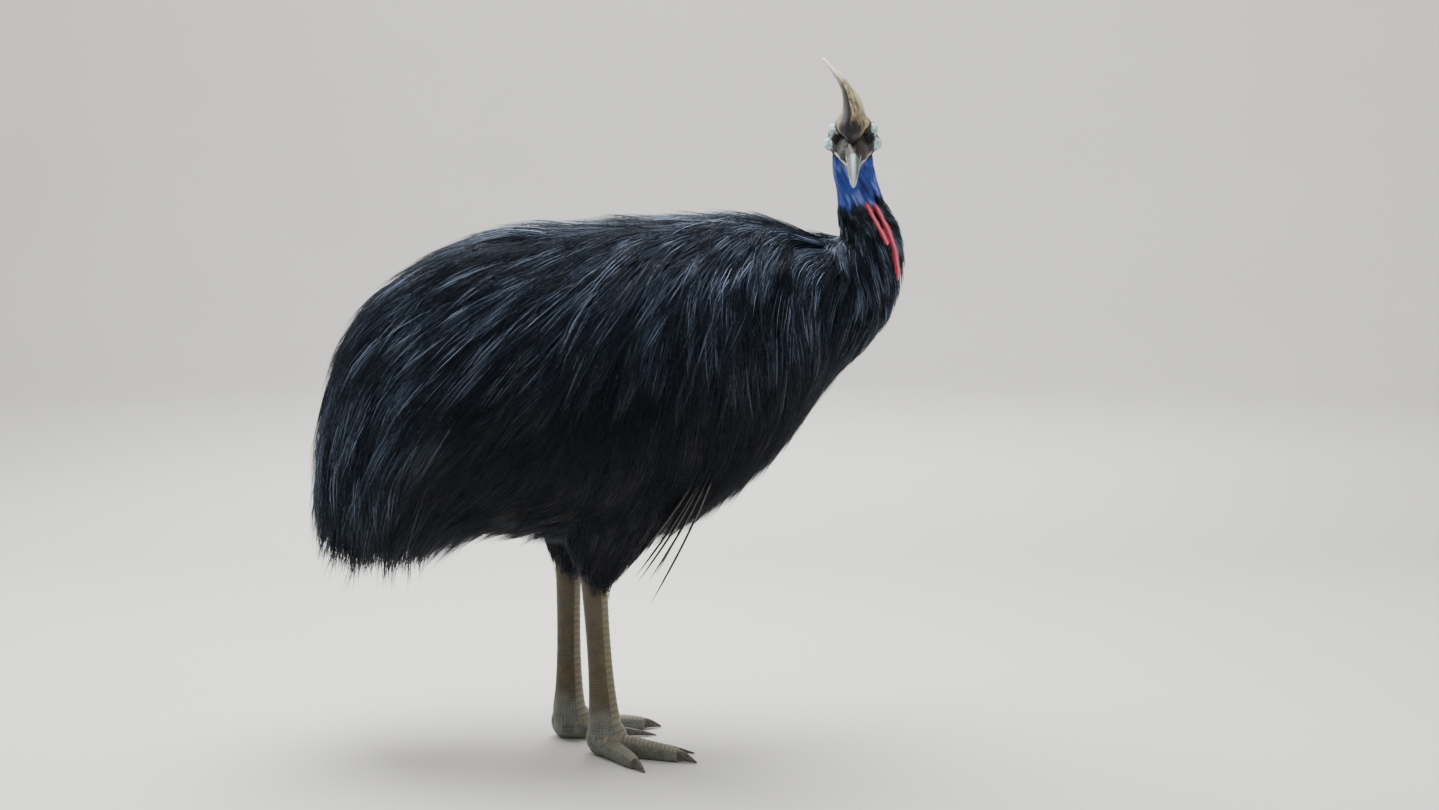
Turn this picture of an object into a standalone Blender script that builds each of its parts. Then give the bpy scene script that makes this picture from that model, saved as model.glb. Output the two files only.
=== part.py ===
"""A southern cassowary at life size, standing on both feet with its head turned to its right.

Metres. +Z is up, +X is the way the body faces, +Y is the bird's left, and the floor is at z = 0.
Each named object is one part of the bird. Neighbours meet face to face with a thin gap.
"""

import math

import bmesh
import bpy
import numpy as np
from mathutils import Matrix, Vector

# Driving dimensions
HOCK_HEIGHT = 0.334
TARSUS_DEPTH = 0.047
EYE_HEIGHT = 1.173
EYE_RADIUS = 0.0125
GAPE_TO_TIP = 0.125
GAP = 0.0004
SOLE_DIP = 0.0015

# The line of the body from the skull to the tail's lower edge. Each row is one cross-section:
# centre x, y, z, then the direction of its back or nape, half depth, half width, pear.
# Pear narrows the back and widens the belly, as a share of the half width.
BODY_LINE = (
    (0.245, -0.070, 1.158, 0.00, 1.00, 0.10, 0.036, 0.036, 0.00),
    (0.248, -0.057, 1.122, 0.00, 1.00, 0.00, 0.039, 0.039, 0.00),
    (0.256, -0.048, 1.082, -0.30, 0.95, 0.00, 0.041, 0.040, 0.00),
    (0.265, -0.036, 1.042, -0.48, 0.88, 0.00, 0.047, 0.046, 0.00),
    (0.283, -0.014, 0.981, -0.62, 0.75, 0.15, 0.066, 0.063, 0.00),
    (0.259, 0.000, 0.918, -0.65, 0.13, 0.74, 0.105, 0.093, 0.03),
    (0.150, 0.000, 0.878, -0.44, 0.00, 0.90, 0.173, 0.142, 0.06),
    (0.000, 0.000, 0.801, -0.40, 0.00, 0.92, 0.253, 0.188, 0.10),
    (-0.205, 0.000, 0.721, -0.20, 0.00, 0.98, 0.308, 0.215, 0.12),
    (-0.425, 0.000, 0.711, -0.17, 0.00, 0.98, 0.286, 0.212, 0.12),
    (-0.549, 0.000, 0.640, -0.59, 0.00, 0.81, 0.250, 0.198, 0.10),
    (-0.620, 0.000, 0.531, -0.84, 0.00, 0.54, 0.183, 0.180, 0.06),
    (-0.649, 0.000, 0.449, -0.96, 0.00, 0.27, 0.142, 0.163, 0.03),
    (-0.668, 0.000, 0.361, -1.00, 0.00, 0.00, 0.098, 0.140, 0.00),
)
SKULL_END, BARE_END, NECK_END, RUMP_START = 0, 3, 5, 9

# The head, in its own frame: +x to the bill's tip, +z up, the eyes either side of the origin.
HEAD_TURN = math.radians(-93)
HEAD_PITCH = math.radians(21)
HEAD_PLACE = Vector((0.245, -0.100, EYE_HEIGHT))
HEAD_FRONT = 0.050
SKULL = (
    # x, z, half height, half width, pear
    (-0.078, -0.016, 0.004, 0.004, 0.00),
    (-0.070, -0.014, 0.022, 0.027, 0.20),
    (-0.052, -0.012, 0.036, 0.041, 0.28),
    (-0.030, -0.012, 0.041, 0.046, 0.30),
    (-0.008, -0.011, 0.038, 0.039, 0.25),
    (0.012, -0.013, 0.034, 0.033, 0.15),
    (0.032, -0.017, 0.028, 0.027, 0.05),
    (0.052, -0.021, 0.023, 0.022, 0.00),
)
UPPER_BILL = (
    (0.046, -0.014, 0.021, 0.0180),
    (0.066, -0.018, 0.017, 0.0132),
    (0.090, -0.026, 0.013, 0.0100),
    (0.112, -0.037, 0.008, 0.0066),
    (GAPE_TO_TIP, -0.047, 0.002, 0.0020),
)
LOWER_BILL = (
    (0.046, -0.0360, 0.0110, 0.0170),
    (0.070, -0.0385, 0.0095, 0.0116),
    (0.095, -0.0425, 0.0085, 0.0082),
    (0.112, -0.0490, 0.0050, 0.0050),
    (0.118, -0.0530, 0.0018, 0.0022),
)
EYE_PLACE = (0.004, 0.0275, -0.002)
LID = 0.0026
# x, y, z and half sizes, the same on both sides
HEAD_FOLDS = (
    (-0.030, 0.0410, -0.024, 0.019, 0.0130, 0.0135),
    (-0.050, 0.0360, -0.010, 0.012, 0.0100, 0.0140),
    (-0.024, 0.0345, 0.005, 0.018, 0.0125, 0.0125),
)
EAR_CUP = (-0.036, 0.0500, -0.010, 0.0055, 0.0080, 0.0065)
NOSTRIL = (0.082, 0.0118, -0.0175)
MOUTH_LINE = ((0.060, 0.020, -0.031), (0.040, 0.025, -0.031), (0.020, 0.030, -0.032), (0.000, 0.036, -0.034))
# name, turn round the neck at the top and the bottom, length, share of the form's width
WATTLES = (("wattle_left", 176, 188, 0.122, 0.76), ("wattle_right", 195, 194, 0.084, 0.66))
WATTLE_FORM = (
    # share of the length, half width, half depth, lift off the feathers
    (0.00, 0.0045, 0.0035, -0.004),
    (0.12, 0.0065, 0.0045, 0.000),
    (0.25, 0.0078, 0.0052, 0.0062),
    (0.38, 0.0070, 0.0045, 0.0062),
    (0.50, 0.0084, 0.0056, 0.0068),
    (0.62, 0.0074, 0.0048, 0.0062),
    (0.75, 0.0092, 0.0062, 0.0072),
    (0.86, 0.0084, 0.0054, 0.0068),
    (0.95, 0.0080, 0.0056, 0.0068),
    (1.00, 0.0030, 0.0022, 0.0068),
)
# x, y, z, then the direction of the front ridge, half length, half thickness
CASQUE = (
    (0.006, 0.000, 0.004, 1, -0.08, 0.00, 0.046, 0.0120),
    (0.005, 0.000, 0.014, 1, -0.08, 0.00, 0.050, 0.0220),
    (0.003, -0.001, 0.022, 1, -0.08, 0.02, 0.053, 0.0295),
    (0.000, -0.001, 0.030, 1, -0.08, 0.06, 0.054, 0.0305),
    (-0.003, -0.001, 0.041, 1, -0.08, 0.12, 0.053, 0.0232),
    (-0.008, -0.0015, 0.055, 1, -0.08, 0.20, 0.050, 0.0190),
    (-0.013, -0.0058, 0.070, 1, -0.08, 0.28, 0.045, 0.0148),
    (-0.018, -0.0110, 0.083, 1, -0.08, 0.34, 0.040, 0.0108),
    (-0.023, -0.0190, 0.096, 1, -0.08, 0.36, 0.034, 0.0082),
    (-0.028, -0.0312, 0.109, 1, -0.08, 0.36, 0.026, 0.0060),
    (-0.033, -0.0420, 0.121, 1, -0.08, 0.36, 0.018, 0.0036),
    (-0.037, -0.0500, 0.130, 1, -0.08, 0.36, 0.010, 0.0025),
    (-0.040, -0.0555, 0.1345, 1, -0.08, 0.36, 0.003, 0.0016),
)

# Legs. Side is +1 for the left, -1 for the right.
LEGS = {
    "right": {"side": -1, "knee": (-0.120, -0.090, 0.586), "hock": (-0.2385, -0.062, HOCK_HEIGHT),
              "foot": (-0.220, -0.062, 0.0), "yaw": math.radians(-21)},
    "left": {"side": 1, "knee": (-0.170, 0.090, 0.586), "hock": (-0.2965, 0.062, HOCK_HEIGHT),
             "foot": (-0.297, 0.061, 0.0), "yaw": math.radians(19)},
}
TOES = {
    # turn outward from the middle toe in degrees, root's shift outward, flesh, claw, half width, scutes
    "inner": (-15, -0.014, 0.086, 0.082, 0.0160, 5),
    "middle": (0, 0.000, 0.152, 0.038, 0.0180, 8),
    "outer": (35, 0.006, 0.114, 0.036, 0.0165, 6),
}
TOE_FORM = ((0.05, 1.25, 1.0), (0.28, 1.12, 1.0), (0.52, 1.0, 1.0), (0.78, 0.88, 1.0), (1.0, 0.70, 1.0))
CLAW_FORM = ((0.0, 0.66, 0.60), (0.3, 0.62, 0.52), (0.7, 0.38, 0.30), (1.0, 0.12, 0.08))
ANKLE_TOP = 0.056
TARSUS_FORM = ((-0.05, 1.06, 1.01), (0.0, 1.05, 1.00), (0.2, 1.00, 0.90), (0.45, 0.98, 0.80),
               (0.7, 1.05, 0.84), (0.88, 1.20, 1.00), (1.0, 1.38, 1.20), (1.05, 1.40, 1.22))
DRUM_FORM = (
    # share of the length, shift to the rear, half depth, half width
    (0.00, 0.000, 0.100, 0.092),
    (0.35, 0.012, 0.100, 0.081),
    (0.60, 0.022, 0.092, 0.064),
    (0.82, 0.018, 0.065, 0.043),
    (1.00, 0.000, 0.034, 0.031),
)

# Wings: a short stump with bare quills that hang down past the breast.
WING_ROOT = (0.070, 0.158, 0.681)
WING_TIP = (0.016, 0.154, 0.606)
QUILL_TIPS = (
    (-0.127, 0.132, 0.310),
    (-0.130, 0.137, 0.354),
    (-0.151, 0.142, 0.352),
    (-0.156, 0.147, 0.362),
    (-0.182, 0.152, 0.364),
)
QUILL_RADIUS = 0.0026
QUILL_FORM = ((0.0, 1.0), (0.25, 1.0), (0.6, 0.85), (0.9, 0.55), (1.0, 0.15))
STUMP_FORM = ((-0.15, 0.006, 0.004), (0.1, 0.017, 0.010), (0.6, 0.016, 0.010), (1.1, 0.006, 0.005))

# The coat: a core well inside its tips, and pointed locks that lie back along the body.
LOCK_SINK = 0.012
LOCK_RISE = 0.20
ROW_SPACING = 0.52
COATS = {
    # first s, last s, locks in a row, length, width, core's depth under the tips, where tips end
    "neck": (0.135, 0.255, 6, 0.120, 0.062, 0.012, 0.60),
    "body": (0.300, 1.060, 9, 0.280, 0.130, 0.026, 1.38),
    "tail": (1.110, 1.290, 9, 0.300, 0.118, 0.028, 1.44),
    "leg": (0.160, 0.225, 5, 0.120, 0.064, 0.012, 0.290),
}
COATS_SEED = {"neck": 3, "body": 8, "tail": 5, "leg": 2}

MATERIALS = {
    # colour, roughness, metallic
    "feather": ((0.010, 0.010, 0.013), 0.45, 0.0),
    "blue_skin": ((0.030, 0.085, 0.420), 0.50, 0.0),
    "face_skin": ((0.050, 0.060, 0.080), 0.55, 0.0),
    "wattle_skin": ((0.560, 0.050, 0.070), 0.50, 0.0),
    "casque_horn": ((0.260, 0.220, 0.150), 0.45, 0.0),
    "bill_horn": ((0.280, 0.320, 0.310), 0.35, 0.0),
    "eye": ((0.030, 0.015, 0.010), 0.05, 0.0),
    "leg_scale": ((0.180, 0.165, 0.105), 0.60, 0.0),
    "toe_scale": ((0.230, 0.235, 0.215), 0.60, 0.0),
    "claw_horn": ((0.040, 0.038, 0.035), 0.35, 0.0),
    "quill": ((0.012, 0.011, 0.012), 0.30, 0.0),
}


class Line:
    """A smooth line through cross-sections: centre, back direction, half depth, half width, pear."""

    def __init__(self, rows, blunt=2.0):
        self.rows = np.array([tuple(row) + (0.0,) * (9 - len(row)) for row in rows], float)
        steps = np.linalg.norm(np.diff(self.rows[:, :3], axis=0), axis=1)
        self.knots = np.concatenate([[0.0], np.cumsum(steps)])
        self.slopes = np.gradient(self.rows, self.knots, axis=0)
        self.power = 2.0 / blunt

    def row(self, s):
        i = int(np.clip(np.searchsorted(self.knots, s) - 1, 0, len(self.knots) - 2))
        h = self.knots[i + 1] - self.knots[i]
        t = (s - self.knots[i]) / h
        ends = self.rows[i], self.rows[i + 1]
        pulls = h * self.slopes[i], h * self.slopes[i + 1]
        here = ((2 * t**3 - 3 * t**2 + 1) * ends[0] + (t**3 - 2 * t**2 + t) * pulls[0]
                + (3 * t**2 - 2 * t**3) * ends[1] + (t**3 - t**2) * pulls[1])
        way = ((6 * t**2 - 6 * t) * (ends[0] - ends[1]) + (3 * t**2 - 4 * t + 1) * pulls[0]
               + (3 * t**2 - 2 * t) * pulls[1])[:3]
        return here, way / np.linalg.norm(way)

    def section(self, s):
        """Centre, normal, back direction, side direction, half depth, half width, pear."""
        here, way = self.row(s)
        back = here[3:6] / np.linalg.norm(here[3:6])
        side = np.cross(way, back)
        side /= np.linalg.norm(side)
        return here[:3], np.cross(back, side), back, side, here[6], here[7], here[8]

    def point(self, s, angle, inset=0.0):
        """A point on the surface. Angle 0 is the back, +90 degrees the left, 180 the belly."""
        centre, _, back, side, depth, width, pear = self.section(s)
        c, n = math.cos(angle), math.sin(angle)
        up = math.copysign(abs(c) ** self.power, c)
        out = math.copysign(abs(n) ** self.power, n) * (1 - pear * c)
        return centre + back * (depth - inset) * up + side * (width - inset) * out


def new_object(name, points, faces):
    mesh = bpy.data.meshes.new(name)
    mesh.from_pydata([tuple(p) for p in points], [], faces)
    obj = bpy.data.objects.new(name, mesh)
    bird.objects.link(obj)
    edited = bmesh.new()
    edited.from_mesh(mesh)
    bmesh.ops.recalc_face_normals(edited, faces=edited.faces)
    edited.to_mesh(mesh)
    edited.free()
    return obj


def bridge(name, rings):
    """A closed skin over rings of points, with flat ends."""
    count = len(rings[0])
    faces = [tuple(range(count)), tuple((len(rings) - 1) * count + k for k in range(count))]
    for i in range(len(rings) - 1):
        a, b = i * count, (i + 1) * count
        faces += [(a + k, a + (k + 1) % count, b + (k + 1) % count, b + k) for k in range(count)]
    return new_object(name, np.concatenate(rings), faces)


def tube(name, line, start, end, rings, sides, inset=lambda s, angle: 0.0, trim=0.0):
    """A length of the line's surface. Trim draws both end faces back along the line."""
    angles = [2 * math.pi * k / sides for k in range(sides)]
    places = np.linspace(start, end, rings)
    made = [np.array([line.point(s, a, inset(s, a)) for a in angles]) for s in places]
    made[0] += trim * line.section(start)[1]
    made[-1] -= trim * line.section(end)[1]
    return bridge(name, made)


def straight(rows):
    """Rows of x, z, half height, half width along x, as cross-sections with their backs up."""
    return [(x, 0.0, z, 0.0, 0.0, 1.0, *sizes) for x, z, *sizes in rows]


def whole(name, rows, rings, sides, blunt=2.0):
    line = Line(rows, blunt)
    return tube(name, line, 0.0, line.knots[-1], rings, sides)


def edit(obj, change):
    edited = bmesh.new()
    edited.from_mesh(obj.data)
    change(edited)
    edited.to_mesh(obj.data)
    edited.free()
    obj.data.update()


def cut_flat(obj, point, normal):
    """Cuts away what lies on the normal's side of a plane, and closes the cut."""
    def change(edited):
        parts = edited.verts[:] + edited.edges[:] + edited.faces[:]
        cut = bmesh.ops.bisect_plane(edited, geom=parts, plane_co=point, plane_no=normal,
                                     clear_outer=True, dist=1e-7)
        edges = [e for e in cut["geom_cut"] if isinstance(e, bmesh.types.BMEdge)]
        bmesh.ops.contextual_create(edited, geom=edges)
        bmesh.ops.recalc_face_normals(edited, faces=edited.faces)
    edit(obj, change)


def grown(obj, by):
    """A copy of a closed mesh with its surface moved out."""
    copy = bpy.data.objects.new(obj.name + "_grown", obj.data.copy())
    cutters.objects.link(copy)
    normals = [v.normal.copy() for v in copy.data.vertices]
    for vertex, normal in zip(copy.data.vertices, normals):
        vertex.co += normal * by
    return copy


def boolean(obj, operation, others, solver="EXACT"):
    """Joins obj with others, or cuts others from it, and removes them."""
    group = bpy.data.collections.new("operands")
    for other in others:
        group.objects.link(other)
    modifier = obj.modifiers.new("cut", "BOOLEAN")
    modifier.operation = operation
    modifier.operand_type = "COLLECTION"
    modifier.collection = group
    modifier.solver = solver
    bpy.context.view_layer.update()
    graph = bpy.context.evaluated_depsgraph_get()
    made = bpy.data.meshes.new_from_object(obj.evaluated_get(graph))
    obj.modifiers.remove(modifier)
    obj.data = made
    for other in others:
        bpy.data.objects.remove(other)
    bpy.data.collections.remove(group)
    keep_largest(obj)


def keep_largest(obj):
    """Leaves only the closed surface that holds most."""
    def change(edited):
        left, shells = set(edited.faces), []
        while left:
            shell, front = set(), [left.pop()]
            while front:
                face = front.pop()
                shell.add(face)
                near = {f for e in face.edges for f in e.link_faces} & left
                left -= near
                front += near
            shells.append(shell)
        def volume(shell):
            total = 0.0
            for face in shell:
                first = face.verts[0].co
                for k in range(1, len(face.verts) - 1):
                    total += first.dot(face.verts[k].co.cross(face.verts[k + 1].co)) / 6
            return abs(total)
        best = max(shells, key=volume)
        loose = [f for f in edited.faces if f not in best]
        bmesh.ops.delete(edited, geom=loose, context="FACES")
    edit(obj, change)


def carve(obj, others, gap=GAP):
    """Cuts obj clear of its neighbours by the gap."""
    boolean(obj, "DIFFERENCE", [grown(other, gap) for other in others])


def place(obj, matrix):
    obj.data.transform(matrix)
    obj.data.update()
    return obj


def ball(name, centre, radii, segments=12, rings=8):
    bpy.ops.mesh.primitive_uv_sphere_add(segments=segments, ring_count=rings, radius=1)
    obj = bpy.context.object
    obj.name = name
    obj.users_collection[0].objects.unlink(obj)
    bird.objects.link(obj)
    return place(obj, Matrix.Translation(centre) @ Matrix.Diagonal((*radii, 1)))


def finish(obj, material_name):
    obj.data.materials.clear()
    obj.data.materials.append(materials[material_name])
    obj.data.shade_smooth()
    obj.data.set_sharp_from_angle(angle=math.radians(40))


def make_materials():
    made = {}
    for name, (colour, roughness, metallic) in MATERIALS.items():
        material = bpy.data.materials.new(name)
        material.use_nodes = True
        shader = material.node_tree.nodes["Principled BSDF"]
        shader.inputs["Base Color"].default_value = (*colour, 1.0)
        shader.inputs["Roughness"].default_value = roughness
        shader.inputs["Metallic"].default_value = metallic
        made[name] = material
    return made


def lock(line, s, angle, length, width, lean, deep, limit, shallow=0.0, extra=0.0):
    """One lock: a flat roof of hair that starts under the core and ends in a point at the coat's edge.

    Lean turns it from the line towards the belly. Extra makes it fatter all round, for cutting.
    """
    spread = 1 if math.sin(angle) >= 0 else -1
    middle = (s + limit) / 2
    pace = np.linalg.norm(line.point(middle + 0.002, angle) - line.point(middle, angle)) / 0.002
    length = min(length, max(limit - s, 0.02) * max(pace, 0.35) / max(math.cos(lean), 0.3))
    width = min(width, length * 0.5)
    rings, steps = [], 10
    for k in range(steps + 1):
        share = k / steps
        rise = width * LOCK_RISE * (1 - 0.5 * share)
        inset = shallow + (deep + LOCK_SINK) * (1 - share) ** 1.5 + rise * min(1, 4 * share)
        here = line.point(s, angle, inset)
        along = (line.point(s + 0.002, angle, inset) - here) / 0.002
        around = (line.point(s, angle + 0.01 * spread, inset) - here) / 0.01
        speed, turn = max(np.linalg.norm(along), 0.35), max(np.linalg.norm(around), 0.02)
        way = along / speed * math.cos(lean) + around / turn * math.sin(lean)
        way /= np.linalg.norm(way)
        out = np.cross(along, around)
        out /= np.linalg.norm(out)
        if out @ (here - line.section(s)[0]) < 0:
            out = -out
        across = np.cross(out, way)
        if k in (0, 3, 6, 8):
            wide = width / 2 * {0: 0.55, 3: 1.0, 6: 0.85, 8: 0.5}[k] + 4.8 * extra
            start = here - way * extra * (k == 0)
            rings.append([start + across * wide - out * extra, start + out * (rise + 1.2 * extra),
                          start - across * wide - out * extra])
        s += length / steps * math.cos(lean) / speed
        angle += spread * length / steps * math.sin(lean) / turn
    points = np.concatenate(rings + [[here + way * extra * 12 - out * extra]])
    faces = [(0, 1, 2), (9, 10, 12), (10, 11, 12), (11, 9, 12)]
    for a in (0, 3, 6):
        for k in range(3):
            n = (k + 1) % 3
            faces += [(a + k, a + n, a + n + 3), (a + k, a + n + 3, a + k + 3)]
    return new_object("lock", points, faces)


def lay_coat(line, coat, lean=None, extra=0.0):
    """The numbers of each lock of a coat: rows along a line, each row set between those before it."""
    first, last, count, length, width, deep, limit = COATS[coat]
    draw = np.random.default_rng(COATS_SEED[coat])
    widest = max(line.section(t)[5] for t in np.linspace(first, last, 9))
    made, s, row = [], first, 0
    while s <= last + 1e-6:
        size = (line.section(s)[5] / widest) ** 0.8
        for k in range(count):
            angle = 2 * math.pi * (k + 0.5 * (row % 2) + draw.uniform(-0.15, 0.15)) / count
            angle = math.atan2(math.sin(angle), math.cos(angle))
            root = s + draw.uniform(-0.1, 0.1) * length * size
            turn = math.radians(draw.uniform(-6, 6)) + (lean(root, angle) if lean else 0.0)
            made.append((root, angle, length * size * draw.uniform(0.88, 1.12),
                         width * size * draw.uniform(0.88, 1.15), turn, deep,
                         limit + draw.uniform(-0.02, 0.01)))
        s += length * size * ROW_SPACING
        row += 1
    return made


def body_lean(line):
    """How far the coat turns down the flank from the line: none on the neck and the tail."""
    start, end = line.knots[NECK_END], line.knots[RUMP_START]
    def lean(s, angle):
        most = np.interp(abs(math.degrees(angle)), (0, 15, 45, 80, 120, 150, 180), (0, 10, 36, 56, 58, 25, 0))
        share = np.interp(s, (start - 0.05, start + 0.12, end - 0.16, end + 0.12), (0.15, 1.0, 0.9, 0.1))
        return math.radians(most * share)
    return lean


def cut_across(obj, line, s, side, half):
    """Cuts obj flat across the line at s, keeping what lies before it for side +1, after it for -1."""
    centre, normal, back, across = line.section(s)[:4]
    corners = [centre + normal * side * depth + back * u + across * v
               for depth in (-half, 0.5) for u, v in ((-0.7, -0.5), (0.7, -0.5), (0.7, 0.5), (-0.7, 0.5))]
    faces = [(0, 1, 2, 3), (7, 6, 5, 4), (0, 4, 5, 1), (1, 5, 6, 2), (2, 6, 7, 3), (3, 7, 4, 0)]
    boolean(obj, "DIFFERENCE", [new_object("half", corners, faces)], "MANIFOLD")


def make_body(line):
    """Lower neck, torso and tail: lengths of one form with its coat, parted by thin cuts."""
    cuts, half, made = line.knots, GAP / 2, []
    coats = (lay_coat(line, "neck") + lay_coat(line, "body", body_lean(line)) + lay_coat(line, "tail"))
    under = [(cuts[-1] - 0.20, 2 * math.pi * (k + 0.3) / 6, 0.19, 0.090, 0.0, 0.02, cuts[-1], 0.062)
             for k in range(6)]
    spans = (("neck_lower", cuts[BARE_END], cuts[NECK_END], True, 6, 16, 0.003, 0.022),
             ("torso", cuts[NECK_END], cuts[RUMP_START], True, 11, 20, 0.024, 0.028),
             ("tail", cuts[RUMP_START], cuts[-1] - 0.14, False, 5, 18, 0.028, 0.040))
    for name, start, end, cut_end, rings, sides, thin, thick in spans:
        core = tube(name, line, start - 0.008, end + 0.008 * cut_end, rings, sides,
                    lambda s, angle: float(np.interp(s, (start, end), (thin, thick))))
        pieces = [lock(line, *numbers) for numbers in coats
                  if start - 0.19 < numbers[0] < end + 0.01 + (not cut_end)]
        if name == "tail":
            pieces += [lock(line, *numbers) for numbers in under]
        boolean(core, "UNION", pieces, "MANIFOLD")
        cut_across(core, line, start, -1, half)
        if cut_end:
            cut_across(core, line, end, 1, half)
        made.append(core)
    neck_upper = tube("neck_upper", line, cuts[SKULL_END], cuts[BARE_END], 7, 16, trim=half)
    return [neck_upper] + made


def make_head():
    """Skull, bill, eyes and casque, made in the head's own frame and then put in place."""
    head = whole("head", straight(SKULL), 10, 14)
    cut_flat(head, (HEAD_FRONT, 0, 0), (1, 0, 0))
    upper = whole("bill_upper", straight(UPPER_BILL), 8, 12)
    cut_flat(upper, (HEAD_FRONT + GAP, 0, 0), (-1, 0, 0))
    lower = whole("bill_lower", straight(LOWER_BILL), 6, 12)
    cut_flat(lower, (HEAD_FRONT + GAP, 0, 0), (-1, 0, 0))
    carve(lower, [upper])
    eyes, added, cups = [], [], []
    for name, side in (("left", 1), ("right", -1)):
        x, y, z = EYE_PLACE
        eyes.append(ball("eye_" + name, (x, side * y, z), (EYE_RADIUS,) * 3, 12, 6))
        look = Matrix.Rotation(math.radians(side * -78), 4, "Z") @ Matrix.Rotation(math.radians(90), 4, "Y")
        bpy.ops.mesh.primitive_torus_add(major_radius=EYE_RADIUS * 0.86, minor_radius=LID, major_segments=10,
                                         minor_segments=5)
        lid = bpy.context.object
        lid.users_collection[0].objects.unlink(lid)
        bird.objects.link(lid)
        place(lid, Matrix.Translation((x + 0.0015, side * (y + 0.0068), z)) @ look.inverted())
        added.append(lid)
        added.append(ball("brow", (x + 0.001, side * (y - 0.001), z + 0.011), (0.016, 0.008, 0.0045), 8, 5))
        for ex, ey, ez, *size in HEAD_FOLDS:
            added.append(ball("fold", (ex, side * ey, ez), size, 8, 5))
        ex, ey, ez, *size = EAR_CUP
        cups.append(ball("cup", (ex, side * ey, ez), size, 8, 5))
        mouth = [(mx, side * my, mz, 0, 0, 1, 0.0007, 0.0045) for mx, my, mz in MOUTH_LINE]
        cups.append(whole("mouth", mouth, 6, 6))
        boolean(upper, "DIFFERENCE", [ball("nostril", (NOSTRIL[0], side * NOSTRIL[1], NOSTRIL[2]),
                                           (0.0050, 0.0022, 0.0018), 8, 6)])
    boolean(head, "UNION", added)
    boolean(head, "DIFFERENCE", cups + [grown(eye, GAP) for eye in eyes])
    casque = whole("casque", CASQUE, 13, 13, blunt=1.7)
    carve(casque, [head, upper] + eyes)
    frame = (Matrix.Translation(HEAD_PLACE) @ Matrix.Rotation(HEAD_TURN, 4, "Z")
             @ Matrix.Rotation(HEAD_PITCH, 4, "Y"))
    for obj in [head, upper, lower, casque] + eyes:
        place(obj, frame)
    return head, upper, lower, casque, eyes


def make_wattles(line, neck_upper, neck_lower):
    """Two lobes of bare, folded skin that hang from the throat over the neck's feathers."""
    made = []
    for name, top, bottom, length, girth in WATTLES:
        start = line.knots[BARE_END] - 0.022
        for extra in (GAP, 0.0):
            rows = []
            for share, half_wide, half_deep, lift in WATTLE_FORM:
                s = start + share * length
                centre = line.point(s, math.radians(top + share * (bottom - top)), -lift)
                out = centre - line.section(s)[0]
                rows.append((*centre, *out, half_deep * girth + extra, half_wide * girth + extra))
            if extra:
                boolean(neck_lower, "DIFFERENCE", [whole("wattle", rows, 15, 7)])
        wattle = whole(name, rows, 15, 7)
        carve(wattle, [neck_upper] + made)
        finish(wattle, "wattle_skin")
        made.append(wattle)


def scuted(line, start, end, sides, count, raise_by):
    """A tube with plates raised on its back half, each lapping over the next."""
    points = []
    edges = np.linspace(start, end, count + 1)
    places = [start] + [edge + shift for edge in edges[1:-1] for shift in (-0.0006, 0.0006)] + [end]
    for i, s in enumerate(places):
        high = raise_by if i % 2 else raise_by * 0.25
        points.append(np.array([line.point(s, 2 * math.pi * k / sides, -high * max(0.0, math.cos(
            2 * math.pi * k / sides)) ** 0.5) for k in range(sides)]))
    return points


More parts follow.
